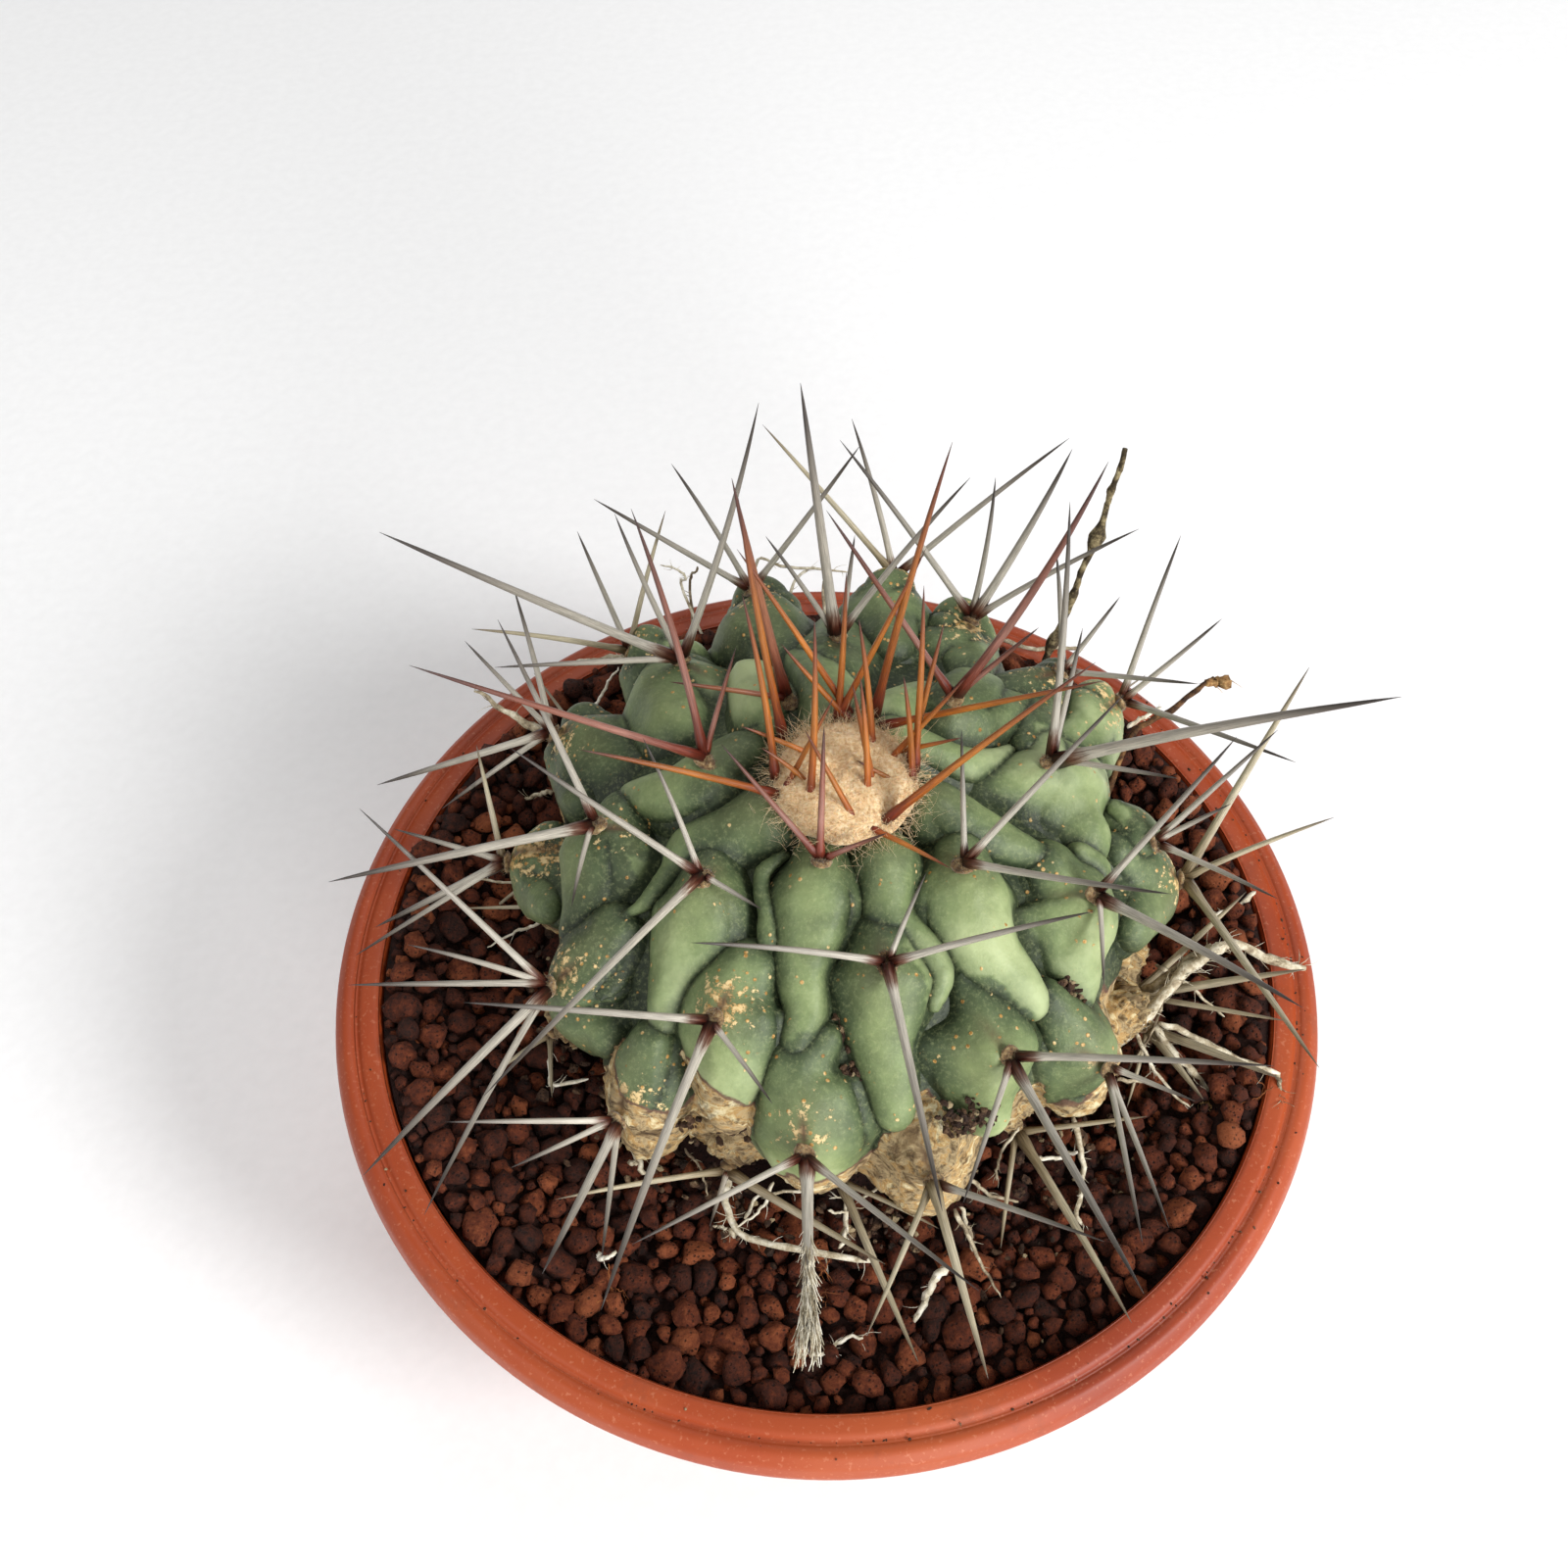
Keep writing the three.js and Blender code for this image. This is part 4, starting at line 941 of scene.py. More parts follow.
def makeSoilBody():
    bm = bmesh.new()
    bm.from_mesh(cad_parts["substrate"].data)
    bmesh.ops.scale(bm, vec=(1 / mm, 1 / mm, 1 / mm), verts=bm.verts)
    bmesh.ops.remove_doubles(bm, verts=bm.verts, dist=0.002)
    bmesh.ops.recalc_face_normals(bm, faces=bm.faces)
    top = [vert for vert in bm.verts if vert.co.z > soil["top"] - 2]
    bmesh.ops.translate(bm, vec=(0, 0, -soil["dig"]), verts=top)
    # The fines lie heaped under the granules: a ring of them, closed below within the body
    steps, sides = soil["finesRings"], soil["finesSides"]
    reaches = [mixed(soil["finesInside"], granules["edge"], step / steps) for step in range(steps + 1)]
    rings = []
    for reach, heaped in [(reach, True) for reach in reaches] + [(reaches[-1], False), (reaches[0], False)]:
        ring = []
        for i in range(sides):
            x, y = (reach * way(2 * math.pi * i / sides) for way in (math.cos, math.sin))
            height = levelAt(x, y)[0] - soil["finesBelow"] if heaped else soil["top"] - soil["finesDepth"]
            ring.append(bm.verts.new((x, y, height)))
        rings.append(ring)
    for inner, outer in zip(rings, rings[1:] + rings[:1]):
        for i in range(sides):
            j = (i + 1) % sides
            bm.faces.new((inner[i], outer[i], outer[j], inner[j]))
    stops = [(0.2, "#130906"), (0.5, "#2a130c"), (0.85, "#3d1e14")]
    finishPiece("soilBody", bm, lavaRock("lavaFines", stops), ["substrate"])


makeSoilBody()
makeGranules()
print("substrate made")


# Spines: swollen at the root, nearly even to past the middle, then drawn out to a point

spineForm = [(0, 1.4), (0.03, 1.55), (0.065, 1.25), (0.1, 1.0), (0.2, 0.9), (0.45, 0.8), (0.7, 0.6),
             (0.85, 0.42), (0.95, 0.2), (1, 0.03)]
spineMiddle = 0.45  # the share of its length at which the middle of a spine was read


# A curve from the root over the middle to the tip
def spinePath(run):
    root, middle, tip = Vector(run[0:3]), Vector(run[3:6]), Vector(run[6:9])
    t = spineMiddle
    bend = (middle - root * (1 - t) ** 2 - tip * t ** 2) / (2 * t * (1 - t))
    return lambda share: root * (1 - share) ** 2 + bend * (2 * share * (1 - share)) + tip * share ** 2


# Spines as the solids have them, by the node that each grows from: root, middle, tip and root radius in mm
spineRuns = {
    "crown": [
        (8.4, 13.8, 128.6, 12.6, 19.3, 150.1, 18.6, 25.9, 176.3, 0.91),
        (8.5, -6.8, 128.6, 20.8, -5.9, 144.7, 36.7, -4.5, 163.7, 0.87),
        (-6.4, 9.8, 128.6, -9.3, 15.8, 146.9, -12, 22.8, 169.4, 0.86),
        (9.5, 11.8, 128.6, 23.6, 7.3, 138.9, 40.7, 1.8, 151.5, 0.84),
        (4.3, 14.4, 128.6, -3.1, 18, 142.4, -12.6, 22.7, 158.8, 0.80),
        (-7.8, -1.1, 128.6, -20.3, -3.2, 137.8, -35.9, -6, 148.5, 0.80),
        (2.3, 13.2, 128.6, 8.3, 17, 142.3, 15.5, 21.5, 159.1, 0.79),
        (-7.8, 1.8, 128.6, -9.1, 7.1, 142.4, -11.9, 13.5, 159.2, 0.79),
        (14.1, 2.6, 128.6, 14.6, 7.8, 142.4, 14.7, 14.3, 159.1, 0.78),
        (-2.6, -3.2, 128.6, -1.7, 2.2, 142.1, -1.5, 9, 158.6, 0.78),
        (2.4, 12.9, 128.6, 3.2, 17.1, 139.9, 3.8, 22.2, 153.6, 0.74),
        (13.2, 3.6, 128.6, 15.3, 7.7, 139.4, 18, 12.7, 152.6, 0.74),
        (9.3, -6.3, 128.6, 17, -4.9, 137.2, 26.1, -3.4, 148, 0.73),
        (7.7, 6.3, 128.6, 7, 10.4, 138.6, 5.4, 15.4, 150.8, 0.72),
        (6.4, -3.6, 128.6, 6.2, 0.7, 137.8, 5.2, 5.7, 149, 0.71),
        (9.2, 3.7, 128.6, 14.7, 5.5, 136.1, 21.2, 7.6, 145.5, 0.70),
        (7.7, -1, 128.6, 6.1, 2.2, 136.5, 4.2, 6.9, 145.7, 0.69),
        (4.4, 12.8, 128.6, -0.6, 14.8, 135, -6.4, 17.3, 143, 0.68),
        (4.6, -7.1, 128.6, 1.1, -4, 135.5, -3.2, -0.2, 144, 0.68),
        (13.6, 1, 128.6, 13.2, 4.3, 136.1, 12, 8.6, 145.2, 0.68),
        (-6.4, -0.2, 128.6, -2.9, 2.5, 135.6, 1.4, 5.9, 144, 0.68),
        (-0.2, 5.1, 128.6, -5.8, 5.3, 132.9, -12.9, 5.5, 137.7, 0.66),
        (6.8, -7.9, 128.6, 11.8, -12, 130.1, 18, -17.1, 131.2, 0.66),
        (9.1, 6, 128.6, 14.5, 4.9, 131.8, 21, 3.5, 135.9, 0.65),
        (-1.2, -0.8, 128.6, -4.9, 0.4, 132.7, -9.9, 1.7, 137.2, 0.64),
        (12.7, -0.6, 128.6, 9.1, 0.1, 131.1, 4.8, 0.9, 134.3, 0.62),
    ],
    "areole_05": [
        (-1.7, -11.8, 127.4, -8, -8.5, 136.2, -15.5, -4.7, 147.2, 0.73),
        (-1.3, -12.1, 127.6, -0.9, -7.8, 136.6, -0.4, -1.8, 147.2, 0.71),
        (-0.2, -12, 127.2, 3.8, -12, 130.1, 8.7, -12.1, 133.6, 0.63),
    ],
    "areole_06": [
        (-19.5, 8.3, 126, -37.1, 4.4, 141.9, -58.5, -0.1, 161.5, 0.93),
        (-19.3, 8.8, 126.1, -22.2, 15, 145.2, -27.5, 22.2, 168.4, 0.87),
        (-19, 9.1, 125.9, -16.6, 12.3, 133.8, -13.4, 16.5, 143.3, 0.69),
    ],
    "areole_07": [
        (22.4, 20.2, 125.4, 32.1, 23, 145.2, 41.8, 27.4, 170.2, 1.20),
        (21.4, 20.5, 125.2, 12.3, 24.7, 140.5, 1, 30, 159, 0.84),
        (22.5, 20, 125.4, 27.9, 20.8, 132, 34.5, 21.8, 139.9, 0.69),
    ],
    "areole_08": [
        (21.2, -12.4, 125.8, 30.1, -9.6, 140.5, 41.2, -6, 158.2, 0.83),
        (21, -12.8, 125.9, 32.4, -21.1, 134.5, 46.2, -30.9, 145.5, 0.81),
        (21, -11.7, 125.6, 20.6, -6.7, 133.5, 20.2, -0.1, 142.9, 0.70),
    ],
    "areole_09": [
        (-19.8, -13.5, 124.6, -30.5, -35.1, 138.7, -43.9, -62.2, 154.9, 0.95),
        (-20.2, -12.8, 124.6, -31.3, -11.2, 137.7, -44.9, -9.2, 153.8, 0.82),
        (-20, -12.3, 124.4, -22.9, -7.2, 133.3, -27.3, -0.6, 143.6, 0.72),
        (-18.8, -13.3, 124.4, -15, -16.2, 124.8, -10.4, -19.8, 125.2, 0.63),
    ],
    "areole_10": [
        (-5.9, 22.3, 123.9, -9.4, 27.7, 141.1, -13.2, 34.1, 162.2, 1.10),
        (-6.3, 21.5, 123.8, -14.4, 19.8, 128.3, -24.4, 17.7, 133.7, 0.70),
    ],
    "areole_11": [
        (38.3, 8.9, 121.7, 55.5, 0.4, 140.4, 77.8, -10.4, 161.8, 1.50),
        (37.3, 10, 121.9, 37.4, 16.5, 141.4, 36.5, 24.5, 165.1, 0.88),
        (37.6, 10.1, 121.9, 39, 13.8, 131.7, 40.5, 18.3, 143.7, 0.72),
        (38.2, 8.9, 121.8, 45.5, 4.2, 126, 54.5, -1.7, 130.9, 0.70),
    ],
    "areole_12": [
        (8.3, -28.9, 123.1, 10.5, -46.7, 125, 13.1, -68.3, 127.6, 1.15),
        (9, -28.2, 123.1, 20.7, -30.1, 133, 35.7, -32.5, 144.1, 0.79),
        (7.5, -28.2, 123.1, -4.7, -30, 130.5, -20.1, -32.6, 138.4, 0.78),
        (8.7, -27.5, 123.2, 10.9, -24.4, 129, 13.9, -20.6, 136, 0.66),
    ],
    "areole_13": [
        (-38.2, 0.3, 118.6, -53.2, -10, 128.9, -71.7, -22.6, 140.9, 1.20),
        (-37.5, 1.6, 119, -42.1, 6.8, 135.4, -48.1, 13.1, 155.4, 0.83),
        (-37.8, 0.1, 118.8, -39.1, -6.2, 118.5, -40.4, -13.9, 117.5, 0.65),
    ],
    "areole_14": [
        (3.1, 38.8, 119.6, 0.7, 44.4, 140.2, -2.3, 51.3, 165.3, 1.30),
        (4.3, 39.1, 119.5, 12.9, 41, 134.4, 24.6, 43.4, 151.8, 0.82),
        (2.8, 39.2, 119.4, -2.1, 41.4, 128.1, -8.5, 44.3, 138.5, 0.71),
        (4.3, 39.1, 119.5, 5.3, 42, 127.4, 6.5, 45.4, 137, 0.68),
    ],
    "areole_15": [
        (43.1, -14.8, 117.1, 53.1, -26.7, 124.1, 65.5, -41.7, 131.5, 1.15),
        (42.8, -13.4, 117.7, 50.1, -10.5, 131.6, 58.9, -6.8, 148.5, 0.80),
        (42.6, -15, 117.3, 42.1, -21.6, 117.1, 41.4, -29.7, 116.3, 0.66),
    ],
    "areole_16": [
        (-18.5, -35.1, 117, -24.8, -55.2, 122.5, -31.9, -80.2, 127.5, 1.15),
        (-19.2, -34.2, 117.3, -33.2, -37.9, 128.1, -50.7, -42.3, 140.9, 0.84),
        (-17.9, -35, 117.3, -14, -41, 117.9, -9.4, -48.3, 118.3, 0.66),
    ],
    "areole_17": [
        (-24.8, 37, 115.8, -43.7, 32.5, 135.4, -66.3, 27.2, 159.7, 1.30),
        (-23.7, 37.4, 116, -16.2, 42.5, 137.1, -8.9, 49.4, 163.2, 0.91),
        (-24.9, 37.1, 115.7, -37.6, 30.9, 122.9, -53.2, 23.3, 131.6, 0.80),
        (-24.2, 37, 116.1, -28.5, 40.5, 128.6, -33.2, 45.1, 143.9, 0.77),
    ],
    "areole_18": [
        (44.2, 34.8, 112.1, 52.7, 29.2, 117.3, 63.1, 22.3, 123.6, 0.73),
        (43.3, 35.6, 112.6, 42.3, 39.3, 122.1, 40.6, 43.7, 133.7, 0.71),
        (43.6, 35.1, 112.6, 47.2, 36.5, 119.4, 51.5, 38.2, 127.8, 0.67),
    ],
    "areole_19": [
        (27, -40.4, 112.4, 32.6, -57.7, 117, 39.1, -78.7, 123.5, 1.20),
        (27.8, -39.4, 113.1, 41.1, -45.5, 124.5, 57.8, -53.3, 137.8, 0.85),
        (26.5, -40.4, 112.7, 22.4, -50.4, 113.8, 17.3, -62.7, 114.9, 0.72),
    ],
    "areole_20": [
        (-45.8, -21.7, 106.9, -56.2, -16.3, 121.9, -69.2, -9.5, 140, 0.85),
        (-45.3, -23, 106.3, -55.1, -38.7, 112.9, -67, -58.3, 120.2, 1.20),
        (-45.3, -23, 106.3, -51.5, -40.7, 111.3, -58.8, -62.8, 116.1, 0.86),
        (-45.7, -21.8, 107, -56.9, -26.3, 116.1, -70.9, -31.8, 127, 0.79),
        (-45.8, -21.7, 106.9, -53.6, -22.4, 114.9, -63.8, -23.6, 123.9, 0.73),
    ],
    "areole_21": [
        (-12.2, 57.7, 110.5, -23.9, 56.9, 122.2, -37.9, 55.8, 136.6, 0.81),
        (-11.2, 57.9, 110.7, -2.3, 60.1, 124.3, 8.2, 62.5, 141.2, 0.81),
        (-12, 57.7, 110.7, -17.4, 60.2, 122.9, -24.7, 63.2, 137.3, 0.76),
    ],
    "areole_22": [
        (55.5, 0.7, 110.2, 62, 2.2, 121.4, 70.1, 4.1, 135, 0.76),
        (55.9, -0.3, 109.5, 62.3, -7.3, 113.5, 70.2, -16.1, 117.9, 0.71),
        (55.5, 0.4, 110.2, 59.8, 0.2, 115, 65.1, 0, 120.8, 0.65),
    ],
    "areole_23": [
        (-4.2, -51.9, 105.7, 5.8, -62.7, 110.8, 18.2, -75.8, 117.1, 0.80),
        (-4.5, -52.2, 105, -4.8, -65.6, 108.4, -5.1, -82.3, 111.6, 1.50),
        (-5.8, -51.7, 105.7, -16, -59.1, 111.4, -29.2, -68.1, 117.1, 0.77),
    ],
    "areole_24": [
        (-48.6, 29.3, 105.1, -59.9, 20.4, 111.1, -73.5, 9.4, 118.9, 1.10),
        (-47.9, 30, 105.6, -49.1, 34.3, 117.9, -51.1, 39.4, 132.9, 0.76),
        (-48.6, 29.3, 105, -55.7, 20.6, 107.7, -64.5, 10, 110.5, 0.73),
        (-48.1, 29.7, 105.7, -53.4, 31.3, 115, -59.9, 33.4, 126.4, 0.72),
    ],
    "areole_25": [
        (28.5, 50.9, 109.2, 18, 54.3, 126, 4.4, 58.9, 145.9, 0.87),
        (29.2, 50.6, 109.3, 36.2, 53.3, 125, 43.4, 56.4, 144.8, 1.15),
        (29.5, 50.5, 109.1, 40.3, 48.6, 121.7, 54.5, 45.9, 136.2, 0.82),
        (28.8, 50.7, 109.3, 30.6, 54.4, 121.4, 31.5, 58.7, 136.4, 0.75),
    ],
    "areole_26": [
        (43.3, -38, 101.9, 43.3, -50.6, 104.5, 43.6, -66.2, 106.4, 0.75),
        (43.3, -38, 102, 45.3, -49.8, 104.5, 47.6, -64.3, 107.1, 0.74),
        (44.2, -37.1, 102.6, 48.7, -40.9, 105.4, 54.2, -45.6, 108.8, 0.65),
    ],
    "areole_27": [
        (-35.2, -41.7, 98, -45.6, -44, 104, -58.4, -46.7, 111, 0.74),
        (-34.2, -42.5, 97.9, -38.4, -53.9, 100.6, -43.5, -67.7, 104.1, 1.20),
        (-34.1, -42.6, 97.6, -34.6, -52.6, 99.2, -35.3, -64.7, 101.1, 0.71),
        (-35.1, -41.8, 98.1, -41.4, -46.5, 101.5, -49, -52.1, 105.8, 0.69),
    ],
    "areole_28": [
        (-35.3, 48.7, 104.2, -46.1, 44.6, 112.9, -60, 39.5, 122.3, 0.78),
        (-34.5, 49.4, 104.5, -31.1, 54.2, 115.4, -26.3, 60.9, 128.2, 0.75),
        (-34.8, 49.1, 104.6, -37.9, 52.1, 115.5, -41.7, 55.7, 128.9, 0.74),
    ],
    "areole_29": [
        (55.9, 34.4, 103.4, 65.9, 23.7, 109.8, 78.7, 10.7, 116.6, 0.80),
        (55.2, 35, 103.9, 57.7, 39, 118.6, 61.2, 43.9, 136.5, 0.80),
        (55.5, 34.6, 103.9, 61.7, 34.9, 113.2, 69, 35.3, 124.8, 0.73),
    ],
    "areole_30": [
        (14.6, -54.2, 100, 16.8, -67.9, 103.2, 19.5, -84.8, 106.9, 1.30),
        (15.6, -54.1, 99.6, 24.9, -60.3, 106, 36.9, -68, 112.8, 0.76),
        (14.1, -54.4, 99.3, 9.3, -65, 102, 3.1, -78, 104.7, 0.74),
    ],
    "areole_31": [
        (-56.2, 6.5, 98, -65.1, -4, 102.8, -76.1, -16.8, 108.7, 0.78),
        (-56.2, 6.5, 98, -64.2, -1.4, 102.2, -73.8, -11, 107.6, 1.10),
        (-56, 7.6, 98.4, -56.8, 11.8, 107.7, -57.8, 17, 119, 0.71),
        (-56.1, 7, 98.4, -62.9, 5.8, 105.1, -71.4, 4.4, 113.2, 0.70),
    ],
    "areole_32": [
        (16, 62.6, 107.9, 28.1, 61.8, 124.1, 43.6, 60.6, 143.3, 0.87),
        (15, 62.9, 107.9, 4.5, 65.1, 123.1, -8.6, 67.8, 141.5, 0.85),
        (15.2, 62.8, 108, 12, 66.4, 122.2, 7.1, 71.2, 139.2, 0.79),
    ],
    "areole_33": [
        (62.1, 0.3, 98.6, 68, 5.5, 117.6, 75.1, 11.7, 140.8, 1.10),
        (62.3, -0.6, 98, 67.7, -18.2, 102.4, 74.6, -39.8, 106.8, 1.15),
        (62.2, 0, 98.6, 70.2, -1.4, 109.1, 81, -3.2, 121, 0.76),
    ],
    "areole_34": [
        (-17.1, -42.7, 77.4, -6.1, -51.7, 82.3, 7.2, -62.5, 88.6, 1.20),
        (-18.3, -42.5, 77.6, -29.7, -46.9, 85.2, -43.9, -52.7, 93.8, 0.78),
        (-17.8, -42.8, 77.7, -19, -47.3, 78.8, -20.5, -52.8, 79.9, 0.63),
    ],
    "areole_35": [
        (-37.3, 31, 79.1, -50.7, 22.1, 74.1, -67.2, 11.1, 68.1, 0.82),
        (-37.1, 32.2, 79.6, -45.3, 43.7, 82.9, -55.4, 57.7, 87, 0.78),
        (-37.4, 31, 79.2, -52.4, 24.9, 75.3, -70.5, 17.9, 69, 0.82),
    ],
    "areole_36": [
        (37.1, 37.9, 78.2, 36, 55.4, 77.9, 35.2, 76.8, 75.8, 0.83),
        (38, 37.4, 78.5, 50.3, 44.6, 82.6, 65.3, 54, 86, 0.78),
    ],
    "areole_37": [
        (31.8, -36.9, 76.9, 37.2, -52.7, 83, 44, -72.5, 88.7, 1.30),
        (32.3, -36.5, 76.8, 40.6, -38.4, 83.6, 50.5, -40.8, 92.1, 0.72),
        (31.3, -37, 76.7, 29, -46.3, 78.4, 26.4, -57.7, 80.1, 0.70),
    ],
    "areole_38": [
        (-49.6, -16.3, 76.7, -53.3, -20.5, 79.1, -57.8, -25.7, 81.5, 0.65),
        (-49.2, -16.5, 76.3, -48.6, -21.9, 77.1, -47.9, -28.5, 77.6, 0.64),
    ],
    "areole_39": [
        (-9.8, 46.7, 74.8, -21, 51.3, 72.8, -34.7, 57, 69.9, 0.75),
        (-8.9, 47.3, 75.1, -9, 62.8, 76.1, -9.1, 81.8, 77.6, 0.80),
    ],
    "areole_40": [
        (55.7, -11, 76.2, 66.1, -14.4, 86.5, 78.7, -18.7, 99.1, 1.30),
        (55.7, -10.6, 76.2, 63, -7.3, 86.1, 72, -3.1, 98.2, 1.10),
        (55.6, -11.1, 76.2, 64.7, -17.3, 83.7, 75.9, -24.9, 92.7, 0.76),
    ],
    "areole_41": [
        (1.3, -44.4, 75.9, 5.8, -58.8, 80.2, 11.6, -76.5, 85, 1.20),
        (1.6, -44.2, 75.7, 8.3, -49, 79.5, 16.4, -55.3, 83.4, 0.69),
        (0.3, -44.1, 75.6, -2.6, -44.5, 77.2, -6.1, -45, 79.3, 0.60),
    ],
    "areole_42": [
        (-37.8, 12.7, 72, -52.1, 13, 71.9, -69.5, 13.4, 71.5, 0.78),
        (-37.7, 13.1, 71.9, -52.2, 20.7, 70.6, -69.9, 29.8, 68.6, 0.81),
    ],
    "areole_43": [
        (18.9, 40.8, 71, 20.8, 55.5, 69.2, 22.8, 73.6, 67.7, 0.79),
    ],
    "areole_44": [
        (57.3, -17.3, 75.3, 64.6, -24.3, 81.5, 74.1, -33, 88.1, 1.30),
        (57.1, -17.5, 75.1, 59.9, -24.3, 77.3, 63.3, -32.8, 79.7, 1.20),
        (56.8, -17.6, 74.7, 54.3, -24.2, 75.4, 51, -32.3, 75.9, 0.66),
    ],
}

spineSlim = 0.8  # the solids are a little stouter than the real spines

# 0 grey and white, 1 amber, 2 red-brown, 3 straw
spineKinds = {"crown": 1.0, "areole_05": 2.0, "areole_06": 2.0, "areole_07": 2.0, "areole_10": 1.6}

# Lower down more and more spines are straw-coloured: from this areole on, by a share that is 0 and 1 at these
straw = {"from": 27, "none": 22, "all": 38}


def spineHorn():
    # Spine wood: hard and fibrous, glossy amber when young, weathered to grey-white with dark tip and root
    material, tree = newMaterial("spineHorn")
    # The grain layer runs round and along each spine, 10 mm to its unit
    fibre = addNode(tree, "ShaderNodeTexNoise", {"Scale": 2.6, "Detail": 5, "Roughness": 0.65},
                    {"Vector": readLayer(tree, "grain", "Vector")}).outputs["Fac"]
    where = addMath(tree, "ADD", readLayer(tree, "along"), addMath(tree, "MULTIPLY_ADD", fibre, 0.12, -0.06))
    ramps = [
        [(0, "#200b06"), (0.045, "#4c1f12"), (0.08, "#705343"), (0.125, "#bcb5a7"), (0.45, "#a59e91"),
         (0.68, "#7e776d"), (0.85, "#453d36"), (1, "#221814")],
        [(0, "#45130a"), (0.07, "#742509"), (0.18, "#9c4f14"), (0.45, "#ad671f"), (0.7, "#93501b"),
         (0.88, "#6a3115"), (1, "#3f1b0f")],
        [(0, "#40130a"), (0.08, "#6d2b1a"), (0.3, "#916558"), (0.6, "#7c4a3a"), (0.85, "#4e2a21"),
         (1, "#2a1713")],
        [(0, "#5d4a30"), (0.1, "#9c8d70"), (0.4, "#c2b79c"), (0.75, "#b0a488"), (0.92, "#7d705a"),
         (1, "#4e4232")],
    ]
    kind = readLayer(tree, "kind")
    colour = addRamp(tree, where, ramps[0])
    for i, stops in enumerate(ramps[1:]):
        share = addNode(tree, "ShaderNodeMath", {"operation": "SUBTRACT", "use_clamp": True, 1: i}, {0: kind})
        colour = layOver(tree, share.outputs["Value"], colour, addRamp(tree, where, stops))
    streak = addNode(tree, "ShaderNodeMapRange",
                     {"From Min": 0.32, "From Max": 0.68, "To Min": 0.55, "To Max": 1.25}, {"Value": fibre})
    lit = addMath(tree, "MULTIPLY_ADD", readLayer(tree, "tone"), 0.22, streak.outputs["Result"])
    shaded = addNode(tree, "ShaderNodeVectorMath", {"operation": "SCALE"}, {0: colour, "Scale": lit})
    return finishMaterial(material, {"IOR": 1.54, "Roughness": 0.42},
                          {"Base Color": shaded.outputs["Vector"],
                           "Normal": addBump(tree, fibre, 0.35, 0.15)})


def makeSpines():
    material = spineHorn()
    draw = random.Random(11)
    template = makeStrand("spineStrand", 8, 15)
    for name, runs in spineRuns.items():
        bm = bmesh.new()
        layers = strandLayers(bm)
        n = int(name[-2:]) if name != "crown" else 0
        for run in runs:
            radius, flat = spineSlim * run[9] ** 0.8, draw.uniform(0.8, 0.92)
            kind = spineKinds.get(name, 0.0)
            if n >= straw["from"]:
                kind = 3.0 if draw.random() < (n - straw["none"]) / (straw["all"] - straw["none"]) else 0.0

            def thickness(share, angle):
                return radius * readAlong(spineForm, share) * (flat if math.cos(angle) ** 2 > 0.5 else 1)

            layStrand(bm, template, spinePath(run), thickness, layers, tone=draw.gauss(0, 0.4), kind=kind,
                      seed=draw.uniform(0, 80))
        piece = "crownSpines" if name == "crown" else "spines" + name[-2:]
        finishPiece(piece, bm, material, [name])


makeSpines()
print("spines made")


# Felt: the woolly cushion of each areole, with short hairs standing out of it

feltForm = {
    "radius": 1.95,
    "driedShare": 0.85,
    "rise": 0.7,
    "hairs": 90,
    "hairLength": 0.9,
    "hairRadius": 0.05,
}


def feltWool(name, stops, cells=0.9):
    # Matted plant hair: matt, tan to cream, darker where it is packed
    material, tree = newMaterial(name)
    tuft = addNoise(tree, objectPlace(tree), cells, 8, 0.7)
    return finishMaterial(material, {"Roughness": 0.95, "Specular IOR Level": 0.15, "Sheen Weight": 0.3,
                                     "Subsurface Weight": 0.1, "Subsurface Scale": 1 * mm},
                          {"Base Color": addRamp(tree, tuft, stops), "Normal": addBump(tree, tuft, 0.5, 0.3)})


def bentHair(root, direction, length, curl, draw):
    across, along = squareTo(direction)
    lean = (across * draw.gauss(0, 1) + along * draw.gauss(0, 1)) * (curl * length)
    return lambda share: root + direction * (length * share) + lean * share ** 2


def makeFelt():
    stops = [(0.3, "#33231a"), (0.45, "#6d5439"), (0.6, "#a38b64"), (0.75, "#d3c097")]
    material = feltWool("areoleFelt", stops)
    draw = random.Random(17)
    hair = makeStrand("hair", 3, 1)
    ball = bmesh.new()
    bmesh.ops.create_icosphere(ball, subdivisions=3, radius=1)
    ball = templateMesh("feltBall", ball)
    for name in areoleNodes:
        n = int(name[-2:])
        point, axis, down = areoleFrame(n)
        aside = axis.cross(down)
        bm = bmesh.new()
        wide = feltForm["radius"] * (feltForm["driedShare"] if n >= spiral["firstDead"] else 1)
        for vert in addCopy(bm, ball):
            lump = 1 + 0.16 * noise.noise(vert.co * 2.3 + point)
            vert.co = point + axis * 0.2 + (axis * (vert.co.z * feltForm["rise"])
                                            + down * (vert.co.x * wide * 1.12)
                                            + aside * (vert.co.y * wide * 0.86)) * lump
        for _ in range(feltForm["hairs"]):
            turn, reach = draw.uniform(0, fullTurn), math.sqrt(draw.random()) * wide
            spot = down * (math.cos(turn) * reach * 1.1) + aside * (math.sin(turn) * reach * 0.85)
            root = point + spot + axis * (0.1 + feltForm["rise"] * math.sqrt(max(0, 1 - (reach / wide) ** 2)))
            direction = (axis + spot * 0.33).normalized()
            length = feltForm["hairLength"] * draw.uniform(0.5, 1.2)
            layStrand(bm, hair, bentHair(root, direction, length, 0.35, draw),
                      lambda share, angle: feltForm["hairRadius"] * (1 - 0.8 * share))
        finishPiece("felt" + name[-2:], bm, material, [name])


makeFelt()
print("felt made")


